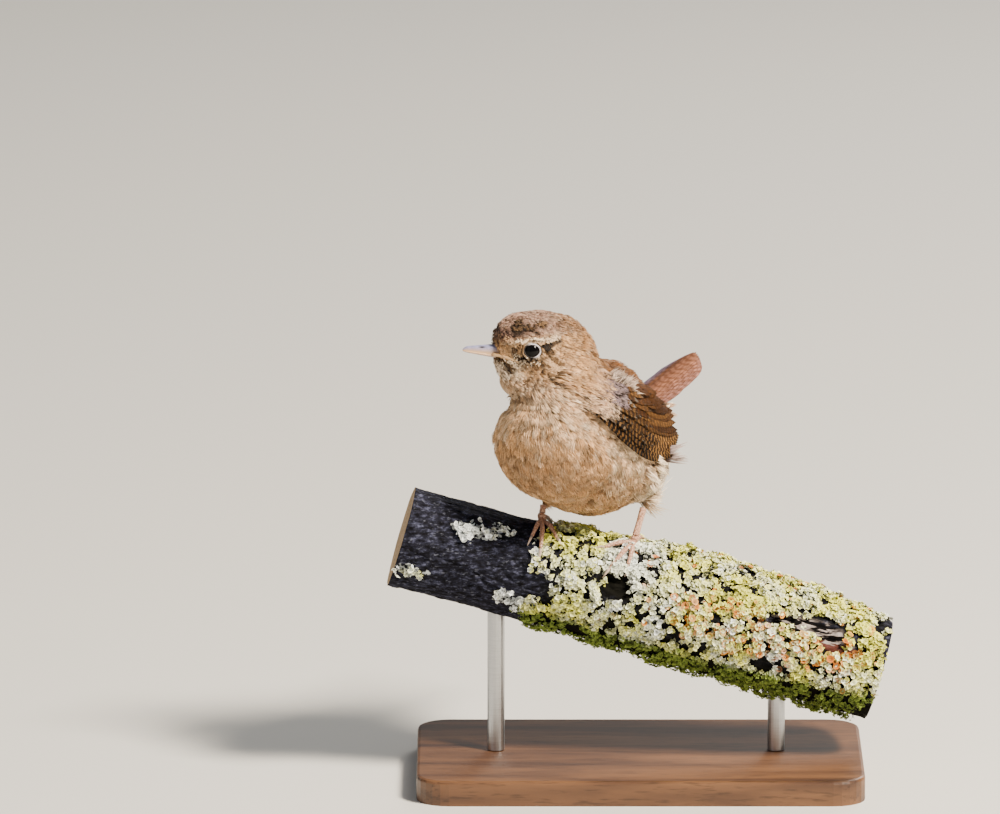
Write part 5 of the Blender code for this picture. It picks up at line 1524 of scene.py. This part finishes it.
band = np.stack([1 + ring, 1 + LOBE_SIDES + ring, 1 + LOBE_SIDES + after, 1 + after], axis=1)
yellow = 0.7 + 0.8 * cloud(spots, 8.0, 10) + 0.5 * rng.normal(0, 0.4, count) - 0.7 * (lobe_x < -32)
yellow = np.clip(yellow, 0, 1) * (1 - 0.7 * oval(lobe_x, degrees, -6, -40, 9, 40))
rust = oval(lobe_x, degrees, 56, -68, 7, 9) * (rng.uniform(0, 1, count) < 0.5)
# Blue holds how high each lobe lies in the crust, which the material turns into painted shade on low lobes.
tones = np.stack([yellow, np.maximum(cup * rng.uniform(0.6, 1, count), rust), layer, moss], axis=1)

# %% Two pieces of lichen
LICHEN_PARTING = 17  # along the perch, so that each piece stays under 200,000 triangles
lichens = []
for name, picked in (("lichen_left", lobe_x < LICHEN_PARTING), ("lichen_right", lobe_x >= LICHEN_PARTING)):
    at = np.flatnonzero(picked)
    steps = each * np.arange(len(at))[:, None]
    loop_verts = np.concatenate([(fan.ravel()[None] + steps).ravel(), (band.ravel()[None] + steps).ravel()])
    sizes = np.concatenate([np.full(len(at) * LOBE_SIDES, 3), np.full(len(at) * LOBE_SIDES, 4)])
    mesh = fill_mesh(name, verts[at].reshape(-1, 3), loop_verts, sizes)
    write_value(mesh, "Along", np.tile(np.concatenate([[0], np.repeat(INNER_AND_RIM, LOBE_SIDES)]), len(at)))
    write_marks(mesh, np.repeat(tones[at], each, axis=0))
    piece = new_object(name, mesh)
    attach(piece, "root")
    lichens.append(piece)
    print(name, len(at), "lobes", len(at) * LOBE_SIDES * 3, "triangles")

# %% Lichen material
thallus, tree, shader = new_material("lichen thallus", 0.8)
marks = add(tree, "Attribute", attribute_name="Marks")
parts = add(tree, "SeparateColor", {"Color": marks.outputs["Color"]})
along = add(tree, "Attribute", attribute_name="Along")
place = add(tree, "TexCoord").outputs["Object"]
powder = add(tree, "TexNoise", {"Vector": place, "Scale": 1400.0, "Detail": 3.0})  # 0.71 mm across
mixed = hue("#eef4f4")
for amount, code in (
    (parts.outputs["Red"], "#e2e265"),
    (marks.outputs["Alpha"], "#75882f"),
    (parts.outputs["Green"], "#bd6a14"),
):
    mixed = add(tree, "Mix", {0: amount, 6: mixed, 7: hue(code)}, data_type="RGBA")
# Painted shade: the middle of each lobe and the lobes that lie low in the crust are darker.
deep = add(tree, "MapRange", {"Value": along.outputs["Fac"], "To Min": 0.22, "To Max": 1.12})
own = add(tree, "MapRange", {"Value": parts.outputs["Blue"], "To Min": 0.12, "To Max": 1.3})
grit = add(tree, "MapRange", {"Value": powder, "To Min": 0.82, "To Max": 1.18})
both = add(tree, "Math", {0: deep, 1: own}, operation="MULTIPLY")
shade = add(tree, "Math", {0: both, 1: grit}, operation="MULTIPLY")
toned = add(tree, "HueSaturation", {"Color": mixed, "Value": shade})
bump = add(tree, "Bump", {"Height": powder, "Strength": 0.5, "Distance": 0.0002})
connect(tree, shader, {"Base Color": toned, "Normal": bump})
for piece in lichens:
    piece.data.materials.append(thallus)

# %% [markdown]
# ## The display stand
#
# A flat walnut base and two brushed steel rods carry the branch. Both solids have their final shape, so they
# only need their finish: oiled walnut has long dark and light grain, and drawn rod has fine rings round it.

# %% Oiled walnut
walnut, tree, shader = new_material("oiled walnut", 0.42, IOR=1.5)
place = add(tree, "TexCoord").outputs["Object"]
stretch = add(tree, "Mapping", {"Vector": place, "Scale": (0.12, 1, 1)})
# Figure 8.3 mm across and eight times as long.
figure = add(tree, "TexNoise", {"Vector": stretch, "Scale": 120.0, "Detail": 5.0, "Distortion": 0.6})
pores = add(tree, "TexNoise", {"Vector": stretch, "Scale": 1500.0, "Detail": 2.0})  # 0.67 mm across
tone = add(tree, "ValToRGB", {"Fac": figure})
tone.color_ramp.elements[0].position, tone.color_ramp.elements[0].color = 0.3, hue("#3a2418")
tone.color_ramp.elements[1].position, tone.color_ramp.elements[1].color = 0.75, hue("#7d5637")
pore = add(tree, "MapRange", {"Value": pores, "From Min": 0.3, "From Max": 0.45, "To Min": 0.55})
dark = add(tree, "HueSaturation", {"Color": tone, "Value": pore})
bump = add(tree, "Bump", {"Height": pores, "Strength": 0.12, "Distance": 0.0002})
connect(tree, shader, {"Base Color": dark, "Normal": bump})
dress(NODES["stand_base"], walnut)

# %% Brushed steel
steel, tree, shader = new_material("brushed stainless steel", 0.3, Metallic=1.0)
place = add(tree, "TexCoord").outputs["Object"]
turning = add(tree, "Mapping", {"Vector": place, "Scale": (0.05, 0.05, 1)})
lines = add(tree, "TexNoise", {"Vector": turning, "Scale": 4000.0, "Detail": 2.0})  # 0.25 mm across
tone = add(tree, "Mix", {0: lines, 6: hue("#a3a5a8"), 7: hue("#c6c8ca")}, data_type="RGBA")
rough = add(tree, "MapRange", {"Value": lines, "To Min": 0.24, "To Max": 0.4})
connect(tree, shader, {"Base Color": tone, "Roughness": rough})
for name in ("stand_rod_left", "stand_rod_right"):
    dress(NODES[name], steel)
